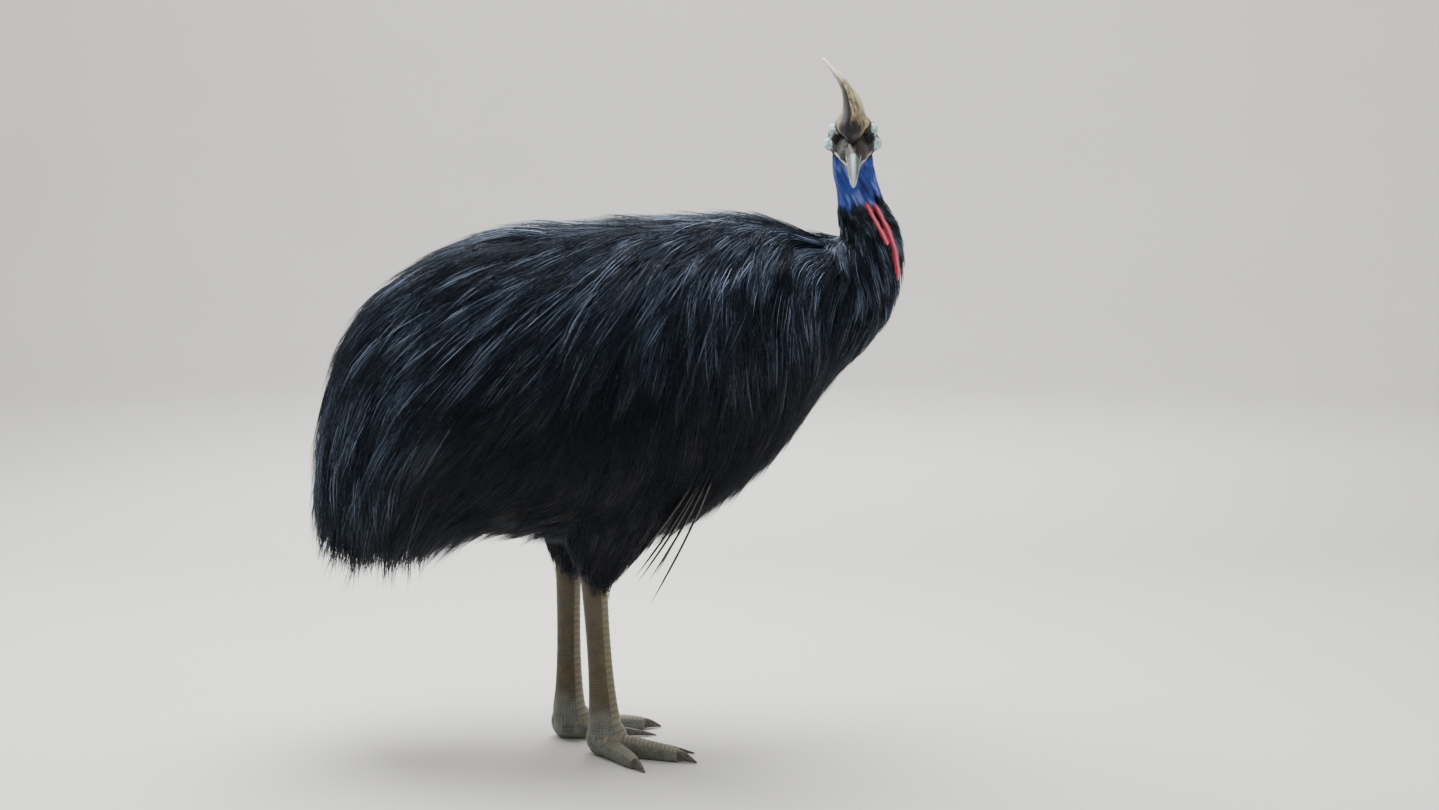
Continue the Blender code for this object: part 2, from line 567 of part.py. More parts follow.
def make_leg(name, leg):
    """Drumstick with its coat, scaled lower leg, foot, three toes and three claws."""
    side = leg["side"]
    knee, hock, foot = (Vector(leg[k]) for k in ("knee", "hock", "foot"))
    half = TARSUS_DEPTH / 2
    ankle = Vector((foot.x, foot.y, ANKLE_TOP))
    rows = [(*(hock + (ankle - hock) * share), 1, 0, 0, half * deep, half * wide)
            for share, deep, wide in TARSUS_FORM]
    line = Line(rows)
    end = line.knots[-1]
    tarsus = bridge("tarsus_" + name, scuted(line, 0.0, end, 10, 9, 0.0012))
    cut_flat(tarsus, (0, 0, HOCK_HEIGHT - GAP / 2), (0, 0, 1))
    cut_flat(tarsus, (0, 0, ANKLE_TOP + GAP / 2), (0, 0, -1))
    finish(tarsus, "leg_scale")

    forward = Vector((1, 0, -0.45)).normalized()
    rows = [(*(knee.lerp(hock, share) - forward * shift), 1, 0, -0.45, deep, wide)
            for share, shift, deep, wide in DRUM_FORM]
    line = Line(rows)
    hocks = line.knots[-1]
    pieces, cutters_made = [], []
    for extra in (0.0, GAP):
        core = tube("bed" if extra else "drumstick_" + name, line, hocks * 0.40 - extra, hocks + 0.01, 7, 14,
                    lambda s, angle: float(np.interp(s, (0.5 * hocks, hocks), (0.016, 0.006))) - extra)
        cut_flat(core, (0, 0, HOCK_HEIGHT + GAP / 2 - extra), (0, 0, -1))
        tufts = [lock(line, *numbers, extra=extra) for numbers in lay_coat(line, "leg")]
        if extra:
            cutters_made = [core] + tufts
        else:
            boolean(core, "UNION", tufts)
            drum = core
    carve(drum, [tarsus])
    finish(drum, "feather")

    pad = ball("foot_" + name, (0.004, 0, 0.032), (0.040, 0.036, 0.040), 14, 8)
    cut_flat(pad, (0, 0, 0), (0, 0, -1))
    cut_flat(pad, (0, 0, ANKLE_TOP - GAP / 2), (0, 0, 1))
    frame = Matrix.Translation(foot) @ Matrix.Rotation(leg["yaw"], 4, "Z")
    place(pad, frame)
    finish(pad, "toe_scale")

    clear_of = [pad]
    for toe_name, (turn, shift, length, claw_length, wide, plates) in TOES.items():
        high = wide * 1.05
        line = Line(straight([(share * length, high * size * lift - SOLE_DIP, high * size, wide * size)
                              for share, size, lift in TOE_FORM]))
        toe = bridge("_".join(("toe", toe_name, name)),
                     scuted(line, 0.0, line.knots[-1], 8, plates, 0.0011))
        cut_flat(toe, (0, 0, 0), (0, 0, -1))
        claw = whole("_".join(("claw", toe_name, name)), straight(
            [(length + GAP + share * claw_length, high * rise, high * size, wide * size * 0.9)
             for share, rise, size in CLAW_FORM]), 6, 8)
        cut_flat(claw, (0, 0, GAP), (0, 0, -1))
        turned = (frame @ Matrix.Translation((0, side * shift, 0))
                  @ Matrix.Rotation(side * math.radians(turn), 4, "Z"))
        place(toe, turned)
        place(claw, turned)
        carve(toe, clear_of)
        carve(claw, clear_of + [toe])
        clear_of += [toe, claw]
        finish(toe, "toe_scale")
        finish(claw, "claw_horn")
    return cutters_made


def make_wing(name, side):
    """A stump of wing with bare quills. Returns fatter copies that cut its bed in the torso."""
    def at(point):
        return Vector((point[0], side * point[1], point[2]))
    root, tip = at(WING_ROOT), at(WING_TIP)
    for extra in (GAP, 0.0):
        rows = [(*root.lerp(tip, share), 1, 0, -0.7, deep + extra, wide + extra)
                for share, deep, wide in STUMP_FORM]
        stump = whole("bed" if extra else "wing_" + name, rows, 7, 10)
        quills = []
        for k, end in enumerate(QUILL_TIPS):
            start, end = root.lerp(tip, 0.70 + 0.07 * k), at(end)
            bow = Vector((0.012, side * 0.014, 0.0))
            quills.append(whole("quill", [
                (*(start.lerp(end, share) + bow * math.sin(math.pi * share)), 0, side, 0,
                 QUILL_RADIUS * size + extra, QUILL_RADIUS * size + extra)
                for share, size in QUILL_FORM], 5, 4))
        if extra:
            cutters_made = [stump] + quills
    boolean(stump, "UNION", quills)
    finish(stump, "quill")
    return cutters_made


def centre_on_floor():
    """Moves everything so that the origin is on the floor under the middle of the bird's outline."""
    corners = np.array([v.co for obj in bird.objects for v in obj.data.vertices])
    low, high = corners.min(0), corners.max(0)
    move = Matrix.Translation((-(low[0] + high[0]) / 2, -(low[1] + high[1]) / 2, 0.0))
    for obj in bird.objects:
        place(obj, move)


for old in list(bpy.data.objects):
    bpy.data.objects.remove(old)
bird = bpy.data.collections.new("cassowary")
cutters = bpy.data.collections.new("cutters")
bpy.context.scene.collection.children.link(bird)
bpy.context.scene.collection.children.link(cutters)
materials = make_materials()

body_line = Line(BODY_LINE)
neck_upper, neck_lower, torso, tail = make_body(body_line)
head, bill_upper, bill_lower, casque, eyes = make_head()
carve(neck_upper, [head])
make_wattles(body_line, neck_upper, neck_lower)
beds = []
for leg_name, leg_sizes in LEGS.items():
    beds += make_leg(leg_name, leg_sizes)
for wing_name, wing_side in (("left", 1), ("right", -1)):
    beds += make_wing(wing_name, wing_side)
boolean(torso, "DIFFERENCE", beds, "MANIFOLD")
finish(neck_upper, "blue_skin")
finish(head, "face_skin")
finish(casque, "casque_horn")
for horn in (bill_upper, bill_lower):
    finish(horn, "bill_horn")
for eye in eyes:
    finish(eye, "eye")
for plumed in (neck_lower, torso, tail):
    finish(plumed, "feather")
centre_on_floor()
bpy.data.collections.remove(cutters)
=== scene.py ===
"""A southern cassowary at life size, standing still with its head turned to its right.

Metres, +Z up. Each piece is shaped where the bird was measured, and settle() then moves it
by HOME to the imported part's own place.
"""

import math

import bpy
import numpy as np
from mathutils import Matrix, Vector


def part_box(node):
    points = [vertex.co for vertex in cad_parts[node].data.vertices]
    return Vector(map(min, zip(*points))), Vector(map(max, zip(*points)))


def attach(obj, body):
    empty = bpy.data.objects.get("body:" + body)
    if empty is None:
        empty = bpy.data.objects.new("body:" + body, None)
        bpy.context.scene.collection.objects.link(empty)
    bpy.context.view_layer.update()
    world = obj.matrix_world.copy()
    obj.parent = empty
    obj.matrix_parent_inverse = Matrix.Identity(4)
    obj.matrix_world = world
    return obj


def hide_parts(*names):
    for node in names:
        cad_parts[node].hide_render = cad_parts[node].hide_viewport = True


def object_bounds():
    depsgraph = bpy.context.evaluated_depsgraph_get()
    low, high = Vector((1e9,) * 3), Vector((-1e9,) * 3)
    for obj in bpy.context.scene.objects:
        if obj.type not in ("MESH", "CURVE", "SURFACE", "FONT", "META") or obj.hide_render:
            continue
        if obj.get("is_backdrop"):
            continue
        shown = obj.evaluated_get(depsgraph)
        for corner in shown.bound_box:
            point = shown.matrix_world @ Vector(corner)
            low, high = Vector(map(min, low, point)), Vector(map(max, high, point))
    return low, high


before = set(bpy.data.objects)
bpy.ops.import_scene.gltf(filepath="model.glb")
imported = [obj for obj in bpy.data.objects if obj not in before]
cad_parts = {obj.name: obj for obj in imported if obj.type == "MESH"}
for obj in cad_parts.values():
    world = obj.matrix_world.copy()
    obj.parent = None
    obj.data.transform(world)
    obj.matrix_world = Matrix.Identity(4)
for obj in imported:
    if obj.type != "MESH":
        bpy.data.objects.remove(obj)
cad_box = [list(corner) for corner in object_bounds()]


# The head's place: the bird stands side on and turns its head to its right, to face the
# viewer, with its bill tipped down. The head's own frame has +x to the bill's tip, +z up and
# +y to the bird's left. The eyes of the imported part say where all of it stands.
EYE_PLACE = Vector((0.004, 0.0275, -0.002))
EYE_RADIUS = 0.0125
HEAD = (Matrix.Translation((0.245, -0.100, 1.173)) @ Matrix.Rotation(math.radians(-93), 4, "Z")
        @ Matrix.Rotation(math.radians(21), 4, "Y"))
eye_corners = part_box("eye_left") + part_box("eye_right")
HOME = sum(eye_corners, Vector()) / 4 - HEAD @ Vector((EYE_PLACE.x, 0, EYE_PLACE.z))


def settle(obj, material, slot, *nodes):
    """Gives a finished piece its material, its place on the part and its nodes; the slot is not used."""
    obj.data.shade_smooth()
    obj.data.materials.clear()
    obj.data.materials.append(material)
    obj.data.transform(Matrix.Translation(HOME))
    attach(obj, "root")
    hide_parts(*nodes)


# The studio: a pale paper floor that runs up all round as one sweep, a broad soft light
# overhead, smaller ones from the viewer's right and from the far side, one on the paper
# behind, and an even pale sky.
SWEEP_RADIUS = 7.0
SWEEP_BEND = 3.0
SWEEP_STEPS = 10
SWEEP_WALL = 6.0
CAMERA_BACK = 3.8
CAMERA_HEIGHT = 1.099
CAMERA_DOWN = math.radians(6.5)
SENSOR_WIDTH = 36
IMAGE_WIDTH = 1439
FOCAL_PIXELS = 2000
LIGHTS = (
    # name, place, aim, size in metres, power in watts
    ("overhead_softbox", (-0.4, 0.7, 3.6), (0.0, 0.0, 0.7), 3.0, 330),
    ("viewer_softbox", (2.7, -3.3, 3.4), (0.1, 0.0, 0.8), 2.0, 32),
    ("far_softbox", (-3.0, 2.2, 2.4), (-0.2, 0.0, 0.8), 1.6, 40),
    ("backdrop_softbox", (0.0, 3.4, 4.2), (0.0, 9.0, 2.2), 4.0, 420),
)
SKY_STRENGTH = 0.50


def linear(code):
    """An sRGB hex colour as the linear values that a shader takes."""
    parts = [int(code[i:i + 2], 16) / 255 for i in (1, 3, 5)]
    return (*[c / 12.92 if c <= 0.04045 else ((c + 0.055) / 1.055) ** 2.4 for c in parts], 1.0)


def per_mm(size):
    """The scale that gives a pattern features of a size in millimetres."""
    return 1000 / size


def new_material(name):
    material = bpy.data.materials.new(name)
    material.use_nodes = True
    material.node_tree.nodes.clear()
    return material


def add_node(material, kind, out=None, stops=(), **settings):
    """Adds a node and returns an output. Settings in lower case are its own properties, and
    those with a capital are inputs, given as a value, an output to link, or a list of these."""
    node = material.node_tree.nodes.new("ShaderNode" + kind)
    for key in sorted(settings, key=lambda k: k[0].isupper()):
        value = settings[key]
        if key[0].islower():
            setattr(node, key, value)
            continue
        sockets = [s for s in node.inputs if s.name == key.replace("_", " ") and s.enabled]
        for socket, given in zip(sockets, value if isinstance(value, list) else [value]):
            if isinstance(given, bpy.types.NodeSocket):
                material.node_tree.links.new(given, socket)
            elif isinstance(given, str):
                socket.default_value = linear(given)
            else:
                socket.default_value = given
    for i, (place, code) in enumerate(stops):
        elements = node.color_ramp.elements
        element = elements[i] if i < 2 else elements.new(place)
        element.position = place
        element.color = linear(code)
    shown = [o for o in node.outputs if o.enabled]
    return node.outputs[out] if out else (shown[0] if shown else None)


bpy.ops.object.select_all(action="DESELECT")
bpy.ops.mesh.primitive_circle_add(vertices=96, radius=SWEEP_RADIUS, fill_type="NGON")
floor = bpy.context.object
floor.name = "studio_floor"
bpy.ops.object.mode_set(mode="EDIT")
bpy.ops.mesh.select_all(action="SELECT")
bpy.ops.mesh.select_mode(type="EDGE")
bpy.ops.mesh.region_to_loop()
for k in range(SWEEP_STEPS):
    low, high = (math.radians(90) * n / SWEEP_STEPS for n in (k, k + 1))
    out = SWEEP_BEND * (math.sin(high) - math.sin(low))
    radius = SWEEP_RADIUS + SWEEP_BEND * math.sin(low)
    bpy.ops.mesh.extrude_edges_move(TRANSFORM_OT_translate={
        "value": (0, 0, SWEEP_BEND * (math.cos(low) - math.cos(high)))})
    bpy.ops.transform.resize(value=((radius + out) / radius,) * 2 + (1,))
bpy.ops.mesh.extrude_edges_move(TRANSFORM_OT_translate={"value": (0, 0, SWEEP_WALL)})
bpy.ops.object.mode_set(mode="OBJECT")
floor.data.shade_smooth()
# Uncoated paper: no shine, and a slow cloud in its tone that keeps it from looking empty
paper = new_material("matt_paper_sweep")
grain = add_node(paper, "TexNoise", Vector=add_node(paper, "TexCoord", out="Object"),
                 Scale=per_mm(900), Detail=3.0)
paper_colour = add_node(paper, "Mix", data_type="RGBA", Factor=grain, A="#dcdad6", B="#e3e1dd")
paper_surface = add_node(paper, "BsdfPrincipled", Base_Color=paper_colour, Roughness=0.85)
add_node(paper, "OutputMaterial", Surface=paper_surface)
floor.data.materials.append(paper)
floor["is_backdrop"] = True

for light_name, place, aim, size, power in LIGHTS:
    bpy.ops.object.light_add(type="AREA", location=HOME + Vector(place))
    light = bpy.context.object
    light.name = light_name
    light.data.size = size
    light.data.energy = power
    light.rotation_euler = (Vector(aim) - Vector(place)).to_track_quat("-Z", "Y").to_euler()
sky = bpy.data.worlds.new("even_sky")
sky.use_nodes = True
sky.node_tree.nodes["Background"].inputs["Color"].default_value = linear("#eef1f5")
sky.node_tree.nodes["Background"].inputs["Strength"].default_value = SKY_STRENGTH
bpy.context.scene.world = sky

bpy.ops.object.camera_add(location=HOME + Vector((0, -CAMERA_BACK, CAMERA_HEIGHT)),
                          rotation=(math.pi / 2 - CAMERA_DOWN, 0, 0))
camera = bpy.context.object
camera.data.sensor_width = SENSOR_WIDTH
camera.data.lens = FOCAL_PIXELS / IMAGE_WIDTH * SENSOR_WIDTH
bpy.context.scene.camera = camera


# The body's form, out to the tips of the coat: cross-sections from the skull down the neck,
# over the back and down the tail. Each row is centre x, y, z, the direction of its back or
# nape, half depth, half width, and pear, which narrows the back and widens the belly.
BODY_ROWS = (
    (0.245, -0.070, 1.158, 0.00, 1.00, 0.10, 0.036, 0.036, 0.00),
    (0.248, -0.057, 1.122, 0.00, 1.00, 0.00, 0.039, 0.039, 0.00),
    (0.256, -0.048, 1.082, -0.30, 0.95, 0.00, 0.041, 0.040, 0.00),
    (0.265, -0.036, 1.042, -0.48, 0.88, 0.00, 0.047, 0.046, 0.00),
    (0.283, -0.014, 0.981, -0.62, 0.75, 0.15, 0.066, 0.063, 0.00),
    (0.259, 0.000, 0.918, -0.65, 0.13, 0.74, 0.105, 0.093, 0.03),
    (0.150, 0.000, 0.878, -0.44, 0.00, 0.90, 0.173, 0.142, 0.06),
    (0.000, 0.000, 0.801, -0.40, 0.00, 0.92, 0.253, 0.188, 0.10),
    (-0.205, 0.000, 0.721, -0.20, 0.00, 0.98, 0.308, 0.215, 0.12),
    (-0.425, 0.000, 0.711, -0.17, 0.00, 0.98, 0.286, 0.212, 0.12),
    (-0.549, 0.000, 0.640, -0.59, 0.00, 0.81, 0.250, 0.198, 0.10),
    (-0.620, 0.000, 0.531, -0.84, 0.00, 0.54, 0.183, 0.180, 0.06),
    (-0.649, 0.000, 0.449, -0.96, 0.00, 0.27, 0.142, 0.163, 0.03),
    (-0.668, 0.000, 0.361, -1.00, 0.00, 0.00, 0.098, 0.140, 0.00),
)


def unit(vectors):
    return vectors / np.linalg.norm(vectors, axis=-1, keepdims=True)


class Form:
    """A smooth form through cross-sections, found by the way along it and the angle round it.

    Angle 0 is the back, +90 degrees the bird's left and 180 the belly. Blunt over 2 squares
    the sections' corners, and under 2 makes them keeled."""

    def __init__(self, rows, blunt=2.0):
        self.rows = np.array([tuple(row) + (0.0,) * (9 - len(row)) for row in rows], float)
        steps = np.linalg.norm(np.diff(self.rows[:, :3], axis=0), axis=1)
        self.knots = np.concatenate([[0.0], np.cumsum(steps)])
        self.slopes = np.gradient(self.rows, self.knots, axis=0)
        self.power = 2.0 / blunt
        self.end = self.knots[-1]

    def sections(self, s):
        """Centre, way along, back, side, half depth, half width and pear. Straight past the ends."""
        s = np.asarray(s, float)
        inner = np.clip(s, 0, self.end)
        i = np.clip(np.searchsorted(self.knots, inner) - 1, 0, len(self.knots) - 2)
        h = (self.knots[i + 1] - self.knots[i])[..., None]
        t = (inner - self.knots[i])[..., None] / h
        a, b, pull_a, pull_b = self.rows[i], self.rows[i + 1], h * self.slopes[i], h * self.slopes[i + 1]
        here = ((2 * t**3 - 3 * t**2 + 1) * a + (t**3 - 2 * t**2 + t) * pull_a
                + (3 * t**2 - 2 * t**3) * b + (t**3 - t**2) * pull_b)
        way = unit(((6 * t**2 - 6 * t) * (a - b) + (3 * t**2 - 4 * t + 1) * pull_a
                    + (3 * t**2 - 2 * t) * pull_b)[..., :3])
        back = unit(here[..., 3:6])
        side = unit(np.cross(way, back))
        centre = here[..., :3] + way * (s - inner)[..., None]
        return centre, way, back, side, here[..., 6], here[..., 7], here[..., 8]

    def points(self, s, angle, inset=0.0):
        centre, _, back, side, depth, width, pear = self.sections(s)
        c, n = np.cos(angle), np.sin(angle)
        up = (depth - inset) * np.sign(c) * np.abs(c) ** self.power
        out = (width - inset) * np.sign(n) * np.abs(n) ** self.power * (1 - pear * c)
        return centre + back * up[..., None] + side * out[..., None]


def from_rows(s, rows):
    """The value at s from rows of a place and its value, on straight lines between them."""
    return np.interp(s, *zip(*rows))


def straight(rows):
    """Rows of x, z, half height, half width along x, as cross-sections with their backs up."""
    return [(x, 0.0, z, 0.0, 0.0, 1.0, *sizes) for x, z, *sizes in rows]


def coordinates(obj):
    flat = np.empty(len(obj.data.vertices) * 3, np.float32)
    obj.data.vertices.foreach_get("co", flat)
    return flat.reshape(-1, 3).astype(float)


def reshape(obj, points):
    obj.data.vertices.foreach_set("co", np.asarray(points, np.float32).ravel())
    obj.data.update()


def keep_marks(obj, marks):
    """Keeps a value at each point of a mesh under each name, for its material to read."""
    for name, values in marks.items():
        obj.data.attributes.new(name, "FLOAT", "POINT").data.foreach_set("value", values.astype(np.float32))


def apply(obj, kind, **settings):
    """Adds a modifier and applies it."""
    bpy.ops.object.select_all(action="DESELECT")
    obj.select_set(True)
    bpy.context.view_layer.objects.active = obj
    modifier = obj.modifiers.new(kind.lower(), kind)
    for key, value in settings.items():
        setattr(modifier, key, value)
    bpy.ops.object.modifier_apply(modifier=modifier.name)


def draw_out(name, form, places, sides, inset=None, ends=0.0):
    """A ball drawn out along a form: its rings go to the places, and its poles close the ends."""
    bpy.ops.object.select_all(action="DESELECT")
    bpy.ops.mesh.primitive_uv_sphere_add(segments=sides, ring_count=len(places) + 1, radius=1)
    obj = bpy.context.object
    obj.name = name
    ball = coordinates(obj)
    ring = np.rint(np.arccos(np.clip(ball[:, 2], -1, 1)) / math.pi * (len(places) + 1)).astype(int)
    angle = np.arctan2(ball[:, 1], ball[:, 0])
    places = np.asarray(places, float)
    s = places[np.clip(ring, 1, len(places)) - 1]
    points = form.points(s, angle, inset(s, angle) if inset else 0.0)
    centre, way = form.sections(s)[:2]
    points[ring == 0] = (centre - way * ends)[ring == 0]
    points[ring == len(places) + 1] = (centre + way * ends)[ring == len(places) + 1]
    reshape(obj, points)
    bpy.ops.object.mode_set(mode="EDIT")
    bpy.ops.mesh.select_all(action="SELECT")
    bpy.ops.mesh.normals_make_consistent(inside=False)
    bpy.ops.object.mode_set(mode="OBJECT")
    return obj


def add_ball(centre, radii, matrix=Matrix()):
    """An ellipsoid at a place in a frame."""
    bpy.ops.mesh.primitive_uv_sphere_add(segments=32, ring_count=20, radius=1)
    obj = bpy.context.object
    obj.data.transform(matrix @ Matrix.Translation(centre) @ Matrix.Diagonal((*radii, 1)))
    return obj


def join(obj, others):
    bpy.ops.object.select_all(action="DESELECT")
    for other in others:
        other.select_set(True)
    obj.select_set(True)
    bpy.context.view_layer.objects.active = obj
    bpy.ops.object.join()


def wave_noise(points, size, seed, octaves=3):
    """Smooth noise between about -1 and 1 with features of a size in metres, from summed waves."""
    draw = np.random.default_rng(seed)
    total, weight = np.zeros(len(points)), 0.0
    for octave in range(octaves):
        strength = 0.5 ** octave
        for _ in range(6):
            direction = draw.normal(size=3)
            direction *= 2.2 * 2**octave / size / np.linalg.norm(direction) * draw.uniform(0.6, 1.4)
            total += strength * np.sin(points @ direction + draw.uniform(0, 6.28))
        weight += strength * 6 ** 0.5
    return total / weight


# The skin: one closed skin over the skull, neck, body and thighs, with the two wattles. It is
# bare from the head to the neck's middle, where it is wrinkled and thin over the muscles, and
# under the coat everywhere else, so only its bare end is fine.
BARE_END = 0.123
RUMP_START = 0.984
SKULL_ROWS = (
    # x, z, half height, half width, pear
    (-0.078, -0.016, 0.004, 0.004, 0.00),
    (-0.070, -0.014, 0.022, 0.027, 0.20),
    (-0.052, -0.012, 0.036, 0.041, 0.28),
    (-0.030, -0.012, 0.041, 0.046, 0.30),
    (-0.008, -0.011, 0.038, 0.039, 0.25),
    (0.012, -0.013, 0.034, 0.033, 0.15),
    (0.032, -0.017, 0.028, 0.027, 0.05),
    (0.052, -0.021, 0.023, 0.022, 0.00),
    (0.060, -0.024, 0.017, 0.016, 0.00),
)
BROW_RADII = (0.016, 0.008, 0.0042)
LID = 0.0023
LID_FORWARD, LID_OUT, LID_TURN = 0.0015, 0.0086, math.radians(78)
ORBIT = 0.0157
ORBIT_IN = 0.004
HEAD_FOLDS = (
    # x, y, z and half sizes of the bulges round each ear, the same on both sides
    (-0.030, 0.0410, -0.024, 0.019, 0.0130, 0.0135),
    (-0.050, 0.0360, -0.010, 0.012, 0.0100, 0.0140),
    (-0.024, 0.0345, 0.005, 0.018, 0.0120, 0.0135),
    (-0.012, 0.0190, 0.018, 0.034, 0.0150, 0.0130),
)
EAR_HOLE = (-0.040, 0.0450, -0.008)
EAR_RIM, EAR_WIDTH, EAR_DEPTH = 0.0090, 0.0060, 0.0070
GAPE_LINE = ((0.074, 0.0112, -0.0290), (0.060, 0.0160, -0.0285), (0.044, 0.0225, -0.0285),
             (0.022, 0.0285, -0.0290), (0.004, 0.0325, -0.0305))
WATTLES = (
    # turn round the neck at the top and the bottom in degrees, length, share of the form's width
    (176, 188, 0.122, 0.76),
    (195, 194, 0.084, 0.66),
)
WATTLE_ABOVE_COAT = 0.022
WATTLE_FORM = (
    # share of the length, half width, half depth, lift off the feathers
    (0.00, 0.0045, 0.0035, -0.004),
    (0.12, 0.0065, 0.0045, 0.000),
    (0.25, 0.0078, 0.0052, 0.0062),
    (0.38, 0.0070, 0.0045, 0.0062),
    (0.50, 0.0084, 0.0056, 0.0068),
    (0.62, 0.0074, 0.0048, 0.0062),
    (0.75, 0.0092, 0.0062, 0.0072),
    (0.86, 0.0084, 0.0054, 0.0068),
    (0.95, 0.0080, 0.0056, 0.0068),
    (1.00, 0.0030, 0.0022, 0.0068),
)
FOLD_DEPTH, FINE_FOLD_DEPTH, CREASE_DEPTH, LUMP_DEPTH = 0.0024, 0.0008, 0.0014, 0.0010
# Where the fine and the coarse part of the skin start and end along the body: they overlap
FINE_SKIN, COARSE_SKIN = (-0.02, 0.19), (0.13, 1.29)
SKIN_VOXEL = 0.00129
BODY_VOXEL = 0.010
COAT_OVER_BODY = (
    # place along the body, depth of the skin under the coat's outline
    (BARE_END, 0.000),
    (0.17, 0.010),
    (0.30, 0.025),
    (RUMP_START, 0.028),
    (1.13, 0.042),
    (1.30, 0.070),
)
COAT_OVER_THIGH = ((0.0, 0.024), (0.5, 0.016), (1.0, 0.006))
LEGS = {
    "right": {"side": -1, "knee": (-0.120, -0.090, 0.586), "hock": (-0.2385, -0.062, 0.334),
              "foot": (-0.220, -0.062, 0.0), "yaw": math.radians(-21)},
    "left": {"side": 1, "knee": (-0.170, 0.090, 0.586), "hock": (-0.2965, 0.062, 0.334),
             "foot": (-0.297, 0.061, 0.0), "yaw": math.radians(19)},
}
THIGH_FORM = (
    # share of the length, shift to the rear, half depth, half width
    (0.00, 0.000, 0.100, 0.092),
    (0.35, 0.012, 0.100, 0.081),
    (0.60, 0.022, 0.092, 0.064),
    (0.82, 0.018, 0.065, 0.043),
    (1.00, 0.000, 0.034, 0.031),
)

body = Form(BODY_ROWS)
skull = Form(straight(SKULL_ROWS))
thighs = {}
for name, leg in LEGS.items():
    knee, hock = Vector(leg["knee"]), Vector(leg["hock"])
    forward = Vector((1, 0, -0.45)).normalized()
    thighs[name] = Form([(*(knee.lerp(hock, share) - forward * shift), 1, 0, -0.45, deep, wide)
                         for share, shift, deep, wide in THIGH_FORM])


def under_coat(s, angle=0.0):
    """How deep the skin lies under the coat's outline on the body."""
    return from_rows(s, COAT_OVER_BODY)


def under_thigh_coat(form):
    """How deep the skin lies under the coat's outline on a thigh."""
    return lambda s, angle=0.0: from_rows(s / form.end, COAT_OVER_THIGH)


fine = draw_out("skin", body, np.linspace(*FINE_SKIN, 70), 72, under_coat, 0.004)
head_parts = [draw_out("skull", skull, np.linspace(0.0005, skull.end - 0.0005, 48), 64, None, 0.001)]
for side in (1, -1):
    x, y, z = EYE_PLACE
    head_parts.append(add_ball((x + 0.001, side * (y - 0.001), z + 0.0115), BROW_RADII))
    head_parts.append(add_ball((x - ORBIT_IN * 0.2, side * (y - ORBIT_IN), z), (ORBIT,) * 3))
    for ex, ey, ez, *size in HEAD_FOLDS:
        head_parts.append(add_ball((ex, side * ey, ez), size))
    gape = Form([(gx, side * gy, gz, 0, 0, 1, 0.0020, 0.0024) for gx, gy, gz in GAPE_LINE])
    head_parts.append(draw_out("gape", gape, np.linspace(0, gape.end, 12), 16, None, 0.002))
    look = Matrix.Rotation(side * LID_TURN, 4, "Z") @ Matrix.Rotation(math.radians(90), 4, "Y")
    bpy.ops.mesh.primitive_torus_add(major_radius=EYE_RADIUS * 0.79, minor_radius=LID,
                                     major_segments=40, minor_segments=12)
    lid = bpy.context.object
    lid.data.transform(Matrix.Translation((x + LID_FORWARD, side * (y + LID_OUT), z)) @ look
                       @ Matrix.Diagonal((0.88, 1.0, 1.0, 1)))
    head_parts.append(lid)
for part in head_parts:
    part.data.transform(HEAD)
wattle_forms = []
for top, bottom, length, girth in WATTLES:
    rows = []
    for share, half_wide, half_deep, lift in WATTLE_FORM:
        s = BARE_END - WATTLE_ABOVE_COAT + share * length
        centre = body.points(np.array(s), math.radians(top + share * (bottom - top)), -lift)
        out = centre - body.sections(s)[0]
        rows.append((*centre, *out, half_deep * girth, half_wide * girth))
    wattle = Form(rows)
    wattle_forms.append(wattle)
    head_parts.append(draw_out("wattle", wattle, np.linspace(0, wattle.end, 60), 32, None, 0.001))
join(fine, head_parts)
apply(fine, "REMESH", mode="VOXEL", voxel_size=SKIN_VOXEL)
apply(fine, "SMOOTH", factor=0.5, iterations=3)


def soft_step(values, low, high):
    share = np.clip((values - low) / (high - low), 0, 1)
    return share * share * (3 - 2 * share)


def nearest(points, samples):
    """The index of the sample that lies nearest to each point."""
    found = np.empty(len(points), int)
    for start in range(0, len(points), 4000):
        block = points[start:start + 4000]
        found[start:start + 4000] = ((samples**2).sum(1) - 2 * block @ samples.T).argmin(1)
    return found


